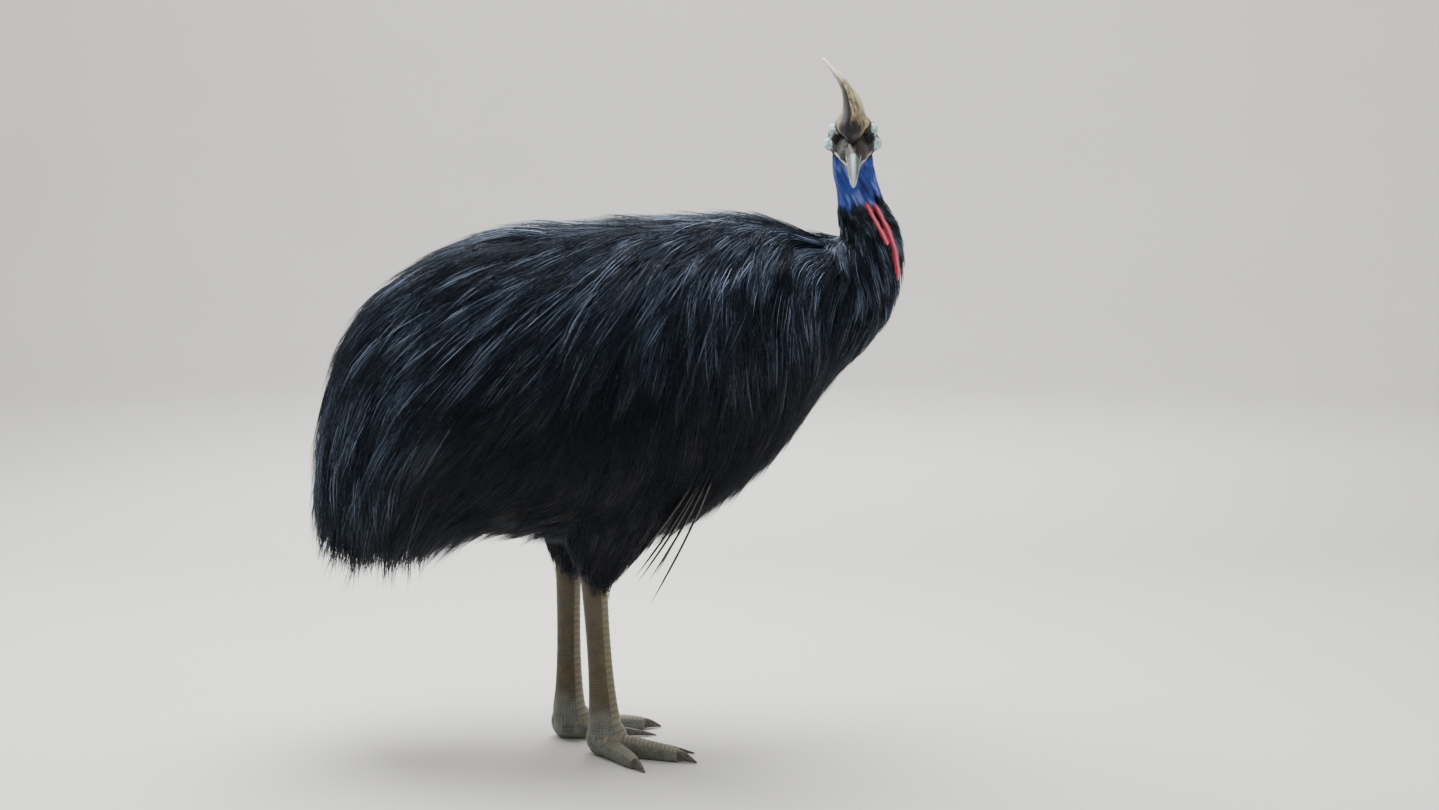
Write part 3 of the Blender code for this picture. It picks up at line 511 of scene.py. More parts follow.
def skin_places(points):
    """Where each point of the skin lies: along and round the body, in the head's frame, and how far
    it belongs to a wattle, to the middle of a wattle where its highlight is painted, and to the head."""
    samples = np.concatenate([np.linspace(-0.03, 0.25, 140), np.linspace(0.26, body.end, 60)])
    centres, ways = body.sections(samples)[:2]
    near = nearest(points, centres)
    along = samples[near] + ((points - centres[near]) * ways[near]).sum(1)
    centre, _, back, side = body.sections(along)[:4]
    angle = np.arctan2(((points - centre) * side).sum(1), ((points - centre) * back).sum(1))
    to_head = np.array(HEAD.inverted())
    in_head = points @ to_head[:3, :3].T + to_head[:3, 3]
    on_wattle, wattle_ridge = np.zeros(len(points)), np.zeros(len(points))
    for form in wattle_forms:
        centres, _, outs, across, depth, width, _ = form.sections(np.linspace(0.06 * form.end, form.end, 60))
        close = nearest(points, centres)
        offset = points - centres[close]
        sideways = (offset * across[close]).sum(1) / width[close]
        reach = np.hypot((offset * outs[close]).sum(1) / depth[close], sideways)
        gap = np.linalg.norm(offset, axis=1)
        near_form = (1 - soft_step(reach, 1.2, 1.7)) * (1 - soft_step(gap, 0.011, 0.014))
        near_form *= np.interp(close, (0, 6), (0.0, 1.0))
        on_wattle = np.maximum(on_wattle, near_form)
        wattle_ridge = np.maximum(wattle_ridge, near_form * (1 - soft_step(np.abs(sideways), 0.05, 0.65)))
    on_head = (soft_step(in_head[:, 0], -0.085, -0.075) * soft_step(in_head[:, 2], -0.050, -0.038)
               * (1 - soft_step(in_head[:, 0], 0.080, 0.090)))
    return along, angle, in_head, on_wattle, wattle_ridge, on_head


def spot(places, centre, radius):
    """1 at a place and 0 past a radius from it, on both sides of the head alike."""
    gap = np.linalg.norm(places * [1, 0, 1] + np.abs(places) * [0, 1, 0] - np.array(centre), axis=1)
    return 1 - soft_step(gap, radius * 0.55, radius)


def beside(places, line, radius):
    """1 on a line of points and 0 past a radius from it, on both sides of the head alike."""
    mirrored = places * [1, 0, 1] + np.abs(places) * [0, 1, 0]
    found = np.full(len(places), 9.0)
    for start, end in zip(np.array(line[:-1]), np.array(line[1:])):
        along = np.clip((mirrored - start) @ (end - start) / ((end - start) ** 2).sum(), 0, 1)
        found = np.minimum(found, np.linalg.norm(mirrored - start - along[:, None] * (end - start), axis=1))
    return 1 - soft_step(found, radius * 0.5, radius)


def neck_folds(along, round_neck):
    """The neck's long wrinkles and the fine ones between them, 0 at their crests."""
    place = np.stack([along * 0.30, np.cos(round_neck) * 0.040, np.sin(round_neck) * 0.040], 1)
    return np.abs(wave_noise(place, 0.012, 4)), np.abs(wave_noise(place, 0.005, 5))


points = coordinates(fine)
along, round_neck, in_head, on_wattle, wattle_ridge, on_head = skin_places(points)
on_neck = (1 - on_wattle) * (1 - on_head)

# Wrinkles run down the neck, short creases cross the face, and an ear lies behind each eye
normals = np.empty(len(points) * 3, np.float32)
fine.data.vertices.foreach_get("normal", normals)
normals = normals.reshape(-1, 3).astype(float)
long_fold, fine_fold = neck_folds(along, round_neck)
creases = np.abs(wave_noise(in_head, 0.008, 6)) * -CREASE_DEPTH
lumps = np.abs(wave_noise(points * [1, 1, 1.4], 0.016, 7)) * -LUMP_DEPTH + LUMP_DEPTH * 0.3
folds = long_fold * -FOLD_DEPTH + fine_fold * -FINE_FOLD_DEPTH
raised = (folds * on_neck + creases * on_head * (1 - on_wattle)
          + lumps * on_wattle + spot(in_head, EAR_HOLE, EAR_RIM) * 0.0012
          - spot(in_head, EAR_HOLE, EAR_WIDTH) * EAR_DEPTH)
reshape(fine, points + normals * raised[:, None])

coarse = draw_out("body", body, np.linspace(*COARSE_SKIN, 60), 48, under_coat, 0.02)
for name, form in thighs.items():
    thigh = draw_out("thigh", form, np.linspace(0.02, form.end + 0.012, 24), 32,
                     under_thigh_coat(form), 0.01)
    apply(coarse, "BOOLEAN", operation="UNION", object=thigh, solver="MANIFOLD")
    bpy.data.objects.remove(thigh)
apply(coarse, "REMESH", mode="VOXEL", voxel_size=BODY_VOXEL)
apply(coarse, "SMOOTH", factor=0.5, iterations=4)
apply(fine, "BOOLEAN", operation="UNION", object=coarse, solver="MANIFOLD")
bpy.data.objects.remove(coarse)
skin = fine


# Its markings: a slate-black face, brown in front, pale turquoise bulges over and behind the
# ears, grey corners to the bill, a cobalt neck with pale streaks and painted shade in its folds,
# crimson wattles with a painted highlight down each, an orange-red lower nape, and painted
# shade under the coat and in the ear holes.
PALE_PATCHES = (
    # x, y, z and radius
    (-0.015, 0.0440, 0.009, 0.0190),
    (-0.040, 0.0400, 0.005, 0.0165),
    (-0.016, 0.0500, -0.020, 0.0190),
    (-0.042, 0.0460, -0.026, 0.0170),
)

points = coordinates(skin)
along, round_neck, in_head, on_wattle, wattle_ridge, on_head = skin_places(points)
long_fold, fine_fold = neck_folds(along, round_neck)
round_neck_out = np.abs(round_neck)
high_up = soft_step(0.94 * in_head[:, 2] - 0.342 * in_head[:, 0], -0.012, 0.004)
bare = (1 - on_wattle) * (1 - on_head)
throat = soft_step(round_neck_out, 1.6, 2.6) * soft_step(along, 0.02, 0.06)
round_eye = spot(in_head, (0.010, 0.0320, -0.004), 0.0290)
front = on_head * soft_step(in_head[:, 0], -0.035, -0.020) * (1 - round_eye)
coated = soft_step(along + 0.006 * np.cos(5 * round_neck) + 0.004 * fine_fold, 0.098, 0.122)
ragged = in_head + (0.0022 * wave_noise(in_head, 0.008, 9) + 0.0012 * wave_noise(in_head, 0.003, 10))[:, None]
marks = {
    # Painted shade in the grooves between the neck's long folds
    "groove": soft_step(long_fold, 0.35, 1.1) * bare,
    "streak": ((1 - soft_step(long_fold, 0.0, 0.50)) * soft_step(wave_noise(points, 0.018, 8), -0.25, 0.35)
               * bare * (0.25 + 0.65 * throat)),
    "nape": (1 - soft_step(round_neck_out, 0.7, 1.25)) * soft_step(along, 0.060, 0.085) * (1 - on_head),
    "face": on_head,
    "brow": front * high_up * (1 - soft_step(np.abs(in_head[:, 1]), 0.030, 0.038)),
    "lore": front * (1 - high_up) * soft_step(in_head[:, 0], 0.000, 0.018),
    "pale": (np.max([spot(ragged, patch[:3], patch[3]) for patch in PALE_PATCHES], axis=0) * on_head
             * (0.45 + 0.55 * soft_step(np.abs(wave_noise(in_head, 0.008, 6)), 0.02, 0.28))),
    "gape": beside(in_head, GAPE_LINE, 0.0042) * on_head,
    # Painted shade: near black under the coat, so the gaps between strands read as shadow, and in each ear
    # hole
    "dark": np.maximum(coated * (1 - on_wattle), spot(in_head, EAR_HOLE, 0.0058)),
    "wattle": on_wattle,
    # A painted highlight down the middle of each wattle
    "wattle_ridge": on_wattle * wattle_ridge * 0.8,
}
keep_marks(skin, marks)

# Bare, slightly oily skin: a soft gloss, stronger on the wattles, over pores and small flecks,
# with each marking mottled in two tones of its colour
skin_material = new_material("bare_skin")
here = add_node(skin_material, "TexCoord", out="Object")
mottle = add_node(skin_material, "TexNoise", Vector=here, Scale=per_mm(9), Detail=4.0)
fleck = add_node(skin_material, "TexNoise", Vector=here, Scale=per_mm(5), Detail=3.0)
pores = add_node(skin_material, "TexVoronoi", Vector=here, Scale=per_mm(1.3))
marked = {mark: add_node(skin_material, "Attribute", out="Fac", attribute_name=mark) for mark in marks}
colour = add_node(skin_material, "Mix", data_type="RGBA", Factor=mottle, A="#1b2a72", B="#3a55b0")
# Three of these marks are painted light: shade in the neck's folds, shade under the coat and in the ear
# holes, and a highlight down each wattle
for mark, first, second in (("groove", "#10163f", "#1d2a68"), ("streak", "#5069c0", "#9fb0e2"),
                            ("nape", "#c4431c", "#e0702c"), ("face", "#0b0c10", "#1a1b21"),
                            ("brow", "#251c12", "#54442f"), ("lore", "#2a2523", "#5a5451"),
                            ("pale", "#84c2cc", "#ecfaf9"), ("gape", "#868c8c", "#c3c8c6"),
                            ("dark", "#08080a", "#0f1013"), ("wattle", "#86142b", "#b6334a"),
                            ("wattle_ridge", "#cf5d72", "#eeb0ba")):
    paint = add_node(skin_material, "Mix", data_type="RGBA", Factor=mottle, A=first, B=second)
    colour = add_node(skin_material, "Mix", data_type="RGBA", Factor=marked[mark], A=colour, B=paint)
gloss = add_node(skin_material, "MapRange", Value=marked["wattle"], To_Min=0.56, To_Max=0.36)
rise = add_node(skin_material, "Math", operation="MULTIPLY_ADD", Value=[pores, 0.5, fleck])
skin_surface = add_node(skin_material, "BsdfPrincipled", Base_Color=colour, Roughness=gloss, IOR=1.33,
                        Normal=add_node(skin_material, "Bump", Height=rise, Strength=0.35, Distance=0.0005))
add_node(skin_material, "OutputMaterial", Surface=skin_surface)
settle(skin, skin_material, "blue_skin", "head", "neck_upper", "neck_lower", "torso",
       "drumstick_left", "drumstick_right", "wattle_left", "wattle_right")


# The eyes: dark brown, wet, with a wide black pupil under a clear, bulging cornea.
CORNEA = 0.0007
EYE_TURN = math.radians(76)
# Wet tissue: a thin clear coat gives one small, sharp highlight over the iris's fine rays
eye_material = new_material("wet_eye")
off_axis = add_node(eye_material, "Attribute", out="Fac", attribute_name="off_axis")
rays = add_node(eye_material, "TexNoise", Vector=add_node(eye_material, "TexCoord", out="Object"),
                Scale=per_mm(1.5), Detail=3.0)
iris = add_node(eye_material, "Mix", data_type="RGBA", Factor=rays, A="#170a05", B="#35190b")
ring = add_node(eye_material, "ValToRGB", Fac=off_axis, stops=(
    (0.0, "#000000"), (1.0, "#000000"), (0.27, "#000000"), (0.30, "#ffffff"),
    (0.56, "#ffffff"), (0.62, "#000000")))
eye_colour = add_node(eye_material, "Mix", data_type="RGBA", Factor=ring, A="#030203", B=iris)
eye_surface = add_node(eye_material, "BsdfPrincipled", Base_Color=eye_colour, Roughness=0.3, IOR=1.34,
                       Coat_Weight=0.4, Coat_Roughness=0.02)
add_node(eye_material, "OutputMaterial", Surface=eye_surface)
for name, side in (("left", 1), ("right", -1)):
    bpy.ops.object.select_all(action="DESELECT")
    bpy.ops.mesh.primitive_uv_sphere_add(segments=48, ring_count=40, radius=1)
    eye = bpy.context.object
    eye.name = "eyeball_" + name
    ball = coordinates(eye)
    tilt = np.arccos(np.clip(ball[:, 2], -1, 1))
    reshape(eye, ball * (EYE_RADIUS + CORNEA * (1 - soft_step(tilt, 0.2, 0.75)))[:, None])
    keep_marks(eye, {"off_axis": tilt})
    eye.data.transform(HEAD @ Matrix.Translation((EYE_PLACE.x, side * EYE_PLACE.y, EYE_PLACE.z))
                       @ Matrix.Rotation(side * EYE_TURN, 4, "Z")
                       @ Matrix.Rotation(math.radians(90), 4, "Y"))
    settle(eye, eye_material, "eye", "eye_" + name)


# The casque: a helmet of horn over a light, spongy core, thin from side to side, with a dark
# keel in front that is carried over the bird's right half of the front as painted shade, mottled
# olive and cream sides with a painted highlight over the left face, a chipped band, and a worn,
# pale tip that leans to one side.
CASQUE_ROWS = (
    # x, y, z, direction of the front keel, half length, half thickness
    (0.006, 0.000, 0.004, 1, -0.08, 0.00, 0.046, 0.0120),
    (0.005, 0.000, 0.014, 1, -0.08, 0.00, 0.050, 0.0220),
    (0.003, -0.001, 0.022, 1, -0.08, 0.02, 0.053, 0.0295),
    (0.000, -0.001, 0.030, 1, -0.08, 0.06, 0.054, 0.0305),
    (-0.003, -0.001, 0.041, 1, -0.08, 0.12, 0.053, 0.0232),
    (-0.008, -0.0015, 0.055, 1, -0.08, 0.20, 0.050, 0.0190),
    (-0.013, -0.0058, 0.070, 1, -0.08, 0.28, 0.045, 0.0148),
    (-0.018, -0.0110, 0.083, 1, -0.08, 0.34, 0.040, 0.0108),
    (-0.023, -0.0190, 0.096, 1, -0.08, 0.36, 0.034, 0.0082),
    (-0.028, -0.0312, 0.109, 1, -0.08, 0.36, 0.026, 0.0060),
    (-0.033, -0.0420, 0.121, 1, -0.08, 0.36, 0.018, 0.0036),
    (-0.037, -0.0500, 0.130, 1, -0.08, 0.36, 0.010, 0.0025),
    (-0.040, -0.0555, 0.1345, 1, -0.08, 0.36, 0.003, 0.0016),
)
casque_form = Form(CASQUE_ROWS, blunt=1.7)
casque = draw_out("casque_horn", casque_form, np.linspace(0, casque_form.end, 90), 96, None, 0.0005)
points = coordinates(casque)
normals = np.array([v.normal for v in casque.data.vertices])
dents = (wave_noise(points * [1, 1, 0.6], 0.016, 11) * 0.0009
         - np.abs(wave_noise(points * [1, 1, 0.3], 0.006, 12)) * 0.0006)
reshape(casque, points + normals * dents[:, None])
samples = np.linspace(0, casque_form.end, 200)
centres, ways = casque_form.sections(samples)[:2]
level = samples[np.abs(((points[:, None] - centres) * ways).sum(-1)).argmin(1)]
centre, _, front, across, depth, width, _ = casque_form.sections(level)
height = level / casque_form.end
forward = ((points - centre) * front).sum(1) / np.maximum(depth, 0.004)
leftward = ((points - centre) * across).sum(1) / np.maximum(width, 0.003)
worn = wave_noise(points, 0.007, 13)
# The dark keel down the front, carried over the bird's right half of the front as painted shade
keel = (soft_step(forward, 0.30, 0.70) * (1 - soft_step(leftward, -0.12, 0.16))
        * (1 - soft_step(height + 0.04 * worn, 0.52, 0.74)))
foot = soft_step(forward, 0.45, 0.80) * (1 - soft_step(height + 0.05 * worn, 0.08, 0.26))
chipped = (soft_step(-leftward, 0.35, 0.65)
           * (1 - soft_step(np.abs(height - 0.27 + 0.02 * worn), 0.012, 0.035)))
# A painted highlight over the bird's left face, kept in one mark with the chipped band
edge = soft_step(leftward, 0.55, 0.95) * soft_step(height, 0.15, 0.35)
keep_marks(casque, {"keel": np.maximum(keel, foot), "height": height,
                    "pale_edge": np.maximum(edge, chipped)})
casque.data.transform(HEAD)
# Weathered horn: a dull sheen over olive and cream blotches and long, fine scratches, with
# painted shade on the keel's right half and a painted highlight on the left face
horn = new_material("mottled_horn")
here = add_node(horn, "TexCoord", out="Object")
long_grain = add_node(horn, "Mapping", Vector=here, Scale=(1, 1, 0.40))
blotch = add_node(horn, "TexNoise", Vector=long_grain, Scale=per_mm(8), Detail=5.0, Roughness=0.65)
scratch = add_node(horn, "TexNoise", Vector=add_node(horn, "Mapping", Vector=here, Scale=(1, 1, 0.20)),
                   Scale=per_mm(1.8), Detail=4.0)
colour = add_node(horn, "ValToRGB", Fac=blotch, stops=(
    (0.34, "#554b39"), (0.66, "#dcd2b0"), (0.44, "#857b5c"), (0.55, "#b0a581")))
colour = add_node(horn, "Mix", data_type="RGBA", blend_type="MULTIPLY", Factor=0.6, A=colour,
                  B=add_node(horn, "ValToRGB", Fac=scratch, stops=((0.38, "#7c7468"), (0.60, "#ffffff"))))
pale_edge = add_node(horn, "Attribute", out="Fac", attribute_name="pale_edge")
pale_edge = add_node(horn, "Math", operation="MULTIPLY", Value=[pale_edge, blotch])
pale_edge = add_node(horn, "MapRange", Value=pale_edge, From_Min=0.25, From_Max=0.60, To_Max=0.9)
colour = add_node(horn, "Mix", data_type="RGBA", Factor=pale_edge, A=colour, B="#cfc6a8")
keel_shade_mark = add_node(horn, "Attribute", out="Fac", attribute_name="keel")
keel_shade_colour = add_node(horn, "Mix", data_type="RGBA", Factor=scratch, A="#120e10", B="#2c2529")
colour = add_node(horn, "Mix", data_type="RGBA", Factor=keel_shade_mark, A=colour, B=keel_shade_colour)
tip_pale = add_node(horn, "MapRange", Value=add_node(horn, "Attribute", out="Fac", attribute_name="height"),
                    From_Min=0.62, From_Max=0.90)
colour = add_node(horn, "Mix", data_type="RGBA", Factor=tip_pale, A=colour, B="#efe9da")
horn_surface = add_node(horn, "BsdfPrincipled", Base_Color=colour, Roughness=0.48, IOR=1.45,
                        Normal=add_node(horn, "Bump", Height=scratch, Strength=0.35, Distance=0.0006))
add_node(horn, "OutputMaterial", Surface=horn_surface)
settle(casque, horn, "casque_horn", "casque")


# The bill: two horn sheaths, grey-turquoise with paler edges, and a painted highlight along the
# upper one's ridge. The upper one is an arch with a nostril low on each side, and closes over
# the lower one.
UPPER_ROWS = (
    # x, z, half height, half width
    (0.046, -0.014, 0.0210, 0.0180),
    (0.066, -0.018, 0.0170, 0.0132),
    (0.090, -0.026, 0.0130, 0.0100),
    (0.112, -0.037, 0.0080, 0.0066),
    (0.125, -0.047, 0.0020, 0.0020),
)
LOWER_ROWS = (
    (0.046, -0.0360, 0.0110, 0.0170),
    (0.070, -0.0385, 0.0095, 0.0116),
    (0.095, -0.0425, 0.0085, 0.0082),
    (0.112, -0.0490, 0.0050, 0.0050),
    (0.118, -0.0530, 0.0018, 0.0022),
)
NOSTRIL = (0.082, 0.0112, -0.0190)
NOSTRIL_RADII = (0.0062, 0.0030, 0.0019)
# Bill horn worn smooth by use: a satin gloss, streaked along its length, paler where thin, and
# a painted highlight along the top ridge
bill_horn = new_material("bill_horn")
here = add_node(bill_horn, "TexCoord", out="Object")
long_grain = add_node(bill_horn, "Mapping", Vector=here, Scale=(1, 0.25, 1))
streaks = add_node(bill_horn, "TexNoise", Vector=long_grain, Scale=per_mm(2.5), Detail=4.0)
ridge, edge, dusk = (add_node(bill_horn, "Attribute", out="Fac", attribute_name=mark)
                     for mark in ("ridge", "edge", "base"))
colour = add_node(bill_horn, "ValToRGB", Fac=streaks, stops=((0.3, "#3a4146"), (0.7, "#66747a")))
colour = add_node(bill_horn, "Mix", data_type="RGBA", Factor=dusk, A=colour, B="#181310")
# On the upper sheath this ridge mark is a painted highlight along the top; on the lower one it is paler
# towards the tip
colour = add_node(bill_horn, "Mix", data_type="RGBA", Factor=ridge, A=colour, B="#bac7cb")
colour = add_node(bill_horn, "Mix", data_type="RGBA", Factor=edge, A=colour, B="#dde2e0")
bill_surface = add_node(bill_horn, "BsdfPrincipled", Base_Color=colour, Roughness=0.40, IOR=1.45,
                        Normal=add_node(bill_horn, "Bump", Height=streaks, Strength=0.25, Distance=0.0004))
add_node(bill_horn, "OutputMaterial", Surface=bill_surface)
for name, rows, blunt in (("upper", UPPER_ROWS, 1.75), ("lower", LOWER_ROWS, 2.2)):
    form = Form(straight(rows), blunt)
    bill = draw_out("bill_" + name + "_sheath", form, np.linspace(0, form.end, 70), 64, None, 0.0004)
    points = coordinates(bill)
    share = np.clip((points[:, 0] - rows[0][0]) / (rows[-1][0] - rows[0][0]), 0, 1)
    centre, _, up, _, depth = form.sections(share * form.end)[:5]
    height = ((points - centre) * up).sum(1) / depth
    if name == "upper":
        # The edge is drawn in to a flat roof over the lower sheath
        points[:, 2] += soft_step(-height, 0.35, 1.0) * depth * 0.35
        reshape(bill, points)
        for side in (1, -1):
            hole = add_ball((NOSTRIL[0], side * NOSTRIL[1], NOSTRIL[2]), NOSTRIL_RADII)
            apply(bill, "BOOLEAN", operation="DIFFERENCE", object=hole, solver="MANIFOLD")
            bpy.data.objects.remove(hole)
        points = coordinates(bill)
    ahead, leftward, level = points.T
    places, middles, highs = np.array(rows).T[:3]
    rise = (level - np.interp(ahead, places, middles)) / np.interp(ahead, places, highs)
    beyond = soft_step(ahead, 0.072, 0.079)
    # A painted highlight along the top of the upper sheath
    ridge_highlight = 1 - soft_step(np.abs(leftward), 0.0010, 0.0064)
    marks = {"ridge": ridge_highlight * soft_step(rise, 0.1, 0.6) * beyond,
             "edge": soft_step(-rise, -0.22, 0.02) * soft_step(ahead, 0.058, 0.068),
             "base": (1 - beyond) * soft_step(rise, 0.0, 0.4)}
    if name == "lower":
        none = np.zeros(len(points))
        marks = {"ridge": soft_step(ahead, 0.085, 0.118), "edge": none, "base": none}
    keep_marks(bill, marks)
    bill.data.transform(HEAD)
    settle(bill, bill_horn, "bill_horn", "bill_" + name)


# The coat: long, loose, hair-like feathers with two shafts each, black and glossy. They lie
# back along the neck and back, turn down over the flanks, and hang from the rump as a fringe.
COAT_STEPS = 4
STRANDS = 7
UV_PATCH = 0.003
ROOTED = 0.002
LEAN_ROUND = (
    # turn from the back in degrees, how far the coat turns down there in degrees
    (0, 0),
    (15, 12),
    (45, 40),
    (80, 62),
    (120, 64),
    (150, 30),
    (180, 0),
)
LEAN_ALONG = ((0.21, 0.10), (0.38, 1.0), (0.82, 0.95), (1.10, 0.12))
LENGTH_ALONG = ((0.09, 0.014), (0.16, 0.05), (0.26, 0.12), (0.45, 0.17), (0.90, 0.22), (1.10, 0.27))
HANG_ALONG = ((0.30, 0.0), (0.50, 0.035), (0.95, 0.035), (1.15, 0.0))
BACK_LINE = (
    # x, height of the back
    (-0.75, 0.62),
    (-0.60, 0.80),
    (-0.43, 0.97),
    (-0.20, 1.02),
    (0.00, 1.03),
    (0.15, 1.03),
    (0.26, 1.05),
)


def lean_of_body(s, angle):
    """How far the coat turns down the flank from the body's line."""
    return np.radians(from_rows(np.abs(np.degrees(angle)), LEAN_ROUND) * from_rows(s, LEAN_ALONG))


def coat_length(s, angle):
    return from_rows(s, LENGTH_ALONG) * (1 + 0.25 * soft_step(s, 0.95, 1.15) * np.cos(angle))


def belly_hang(s, angle):
    """How far the tips of the belly's feathers hang below its form."""
    return np.clip((np.abs(angle) - 1.9) / 1.0, 0, 1) * from_rows(s, HANG_ALONG)


def under_painted_sheen(places):
    """0 on the back and shoulders, where the feathers carry a painted blue-grey sheen from the light above,
    to 1 lower down, where they are brown-black.
    """
    x, _, z = places.mean(0).T
    return soft_step(from_rows(x, BACK_LINE) - z, 0.10, 0.36)


def comb(form, s, angle, length, lean, wander, deep, shallow, hang=0.0):
    """Lays the middle line of each feather on a form, from a root at s and angle: its places,
    and the outward directions there. Deep and shallow are its depths at the root and the tip."""
    turn_way = np.where(np.sin(angle) >= 0, 1.0, -1.0)
    places, outs = [], []
    for k in range(COAT_STEPS + 1):
        share = k / COAT_STEPS
        inset = shallow + (deep - shallow) * (1 - share) ** 1.6
        here = form.points(s, angle, inset)
        ahead = (form.points(s + 0.002, angle, inset) - here) / 0.002
        round_it = (form.points(s, angle + 0.01 * turn_way, inset) - here) / 0.01
        out = unit(np.cross(ahead, round_it))
        outward = ((here - form.sections(s)[0]) * out).sum(-1, keepdims=True)
        outs.append(out * np.where(outward < 0, -1.0, 1.0))
        places.append(here - np.array([0, 0, 1.0]) * (hang * share**2)[:, None])
        turned = lean(s, angle) + wander
        speed = np.maximum(np.linalg.norm(ahead, axis=-1), 0.35)
        turn = np.maximum(np.linalg.norm(round_it, axis=-1), 0.02)
        s = s + length / COAT_STEPS * np.cos(turned) / speed
        angle = angle + turn_way * length / COAT_STEPS * np.sin(turned) / turn
    return np.array(places), np.array(outs), s


def scatter(form, count, first, last, draw, crowd=None):
    """Roots spread evenly over a form's surface between two places along it."""
    found_s, found_angle = [], []
    while len(found_s) < count:
        s = draw.uniform(first, last, count * 2)
        angle = draw.uniform(-math.pi, math.pi, count * 2)
        here = form.points(s, angle)
        ahead = (form.points(s + 0.002, angle) - here) / 0.002
        round_it = (form.points(s, angle + 0.01) - here) / 0.01
        area = np.linalg.norm(np.cross(ahead, round_it), axis=1)
        if crowd:
            area = area * crowd(s, angle)
        keep = draw.uniform(0, area.max(), len(s)) < area
        found_s += list(s[keep])
        found_angle += list(angle[keep])
    return np.array(found_s[:count]), np.array(found_angle[:count])


def strands(name, places, outs, width, tones, roots, draw, fan):
    """Solid, tapered strands along each feather's line: thin roofs of three sides to a point."""
    steps, feathers = places.shape[0] - 1, places.shape[1]
    share = np.linspace(0, 1, steps + 1)[:, None, None]
    ways = unit(np.gradient(places, axis=0))
    sides = unit(np.cross(ways, outs))
    outs = unit(np.cross(sides, ways))
    lane = np.linspace(-1, 1, STRANDS)[None, None, :] + draw.normal(0, 0.25, (1, feathers, STRANDS))
    lifted = draw.normal(0, 0.25, (1, feathers, STRANDS))
    spread = fan[None, :, None] * np.sin(np.pi * (0.12 + 0.70 * share)) * lane
    curl = draw.normal(0, 0.35, (1, feathers, STRANDS)) * fan[None, :, None] * share**2
    cut = draw.uniform(0.80, 1.0, (feathers, STRANDS))
    at = np.arange(steps + 1)
    middle = (places[:, :, None, :] + sides[:, :, None, :] * (spread + curl)[..., None]
              + outs[:, :, None, :] * (fan[None, :, None] * 0.5 * lifted * share)[..., None])
    # Shorten some strands by drawing their points back towards the root
    back = (at[:, None, None] * cut[None]).clip(0, steps)
    low = np.floor(back).astype(int).clip(0, steps - 1)
    part = (back - low)[..., None]
    f, m = np.meshgrid(np.arange(feathers), np.arange(STRANDS), indexing="ij")
    middle = middle[low, f, m] * (1 - part) + middle[low + 1, f, m] * part
    count = feathers * STRANDS
    middle = middle.reshape(steps + 1, count, 3)
    side = np.repeat(sides, STRANDS, axis=1)
    out = np.repeat(outs, STRANDS, axis=1)
    wide = (np.repeat(width, STRANDS) * draw.uniform(0.7, 1.3, count))[:, None]
    taper = np.interp(np.linspace(0, 1, steps + 1), (0, 0.3, 0.7, 1.0), (0.7, 1.0, 0.8, 0.1))
    rings = []
    for k in range(steps):
        half = wide * taper[k] / 2
        rings += [middle[k] + side[k] * half - out[k] * half * 0.25,
                  middle[k] + out[k] * half * 0.65,
                  middle[k] - side[k] * half - out[k] * half * 0.25]
    corners = np.stack(rings + [middle[steps]], 1)
    per = corners.shape[1]
    quads = [(3 * k + a, 3 * k + (a + 1) % 3, 3 * k + 3 + (a + 1) % 3, 3 * k + 3 + a)
             for k in range(steps - 1) for a in range(3)]
    last = 3 * (steps - 1)
    ends = [(2, 1, 0)] + [(last + a, last + (a + 1) % 3, per - 1) for a in range(3)]
    starts = np.arange(count)[:, None] * per
    loops = np.concatenate([np.array(quads).ravel(), np.array(ends).ravel()])[None] + starts
    sizes = np.tile([4] * len(quads) + [3] * len(ends), count)
    mesh = bpy.data.meshes.new(name)
    mesh.vertices.add(count * per)
    mesh.vertices.foreach_set("co", corners.astype(np.float32).ravel())
    mesh.loops.add(loops.size)
    mesh.loops.foreach_set("vertex_index", loops.ravel().astype(np.int32))
    mesh.polygons.add(len(sizes))
    first_loops = np.cumsum(sizes) - sizes
    mesh.polygons.foreach_set("loop_start", first_loops.astype(np.int32))
    mesh.update(calc_edges=True)
    obj = bpy.data.objects.new(name, mesh)
    bpy.context.scene.collection.objects.link(obj)
    tone, warm = (np.repeat(values, STRANDS) + draw.normal(0, jitter, count)
                  for values, jitter in zip(tones, (0.16, 0.10)))
    keep_marks(obj, {"tone": np.repeat(tone, per), "warm": np.repeat(warm, per)})
    across = np.append(np.tile([0.0, 0.5, 1.0], steps), 0.5)
    reach = np.append(np.repeat(np.linspace(0, 1, steps + 1)[:-1], 3), 1.0)
    patch = np.stack([np.tile(across, count), np.tile(reach, count)], 1) * UV_PATCH
    uv = np.repeat(np.repeat(roots, STRANDS, axis=0), per, axis=0) + patch
    layer = mesh.uv_layers.new(name="OFBake")
    layer.uv.foreach_set("vector", uv[loops.ravel()].astype(np.float32).ravel())
    return obj


# Plumes of loose barbs: each strand glosses by itself, and its colour carries a painted blue-grey
# sheen where the light rakes the back, fading to nearly dull brown-black below
feather_material = new_material("cassowary_plume")
tone, warm = (add_node(feather_material, "Attribute", out="Fac", attribute_name=mark)
              for mark in ("tone", "warm"))
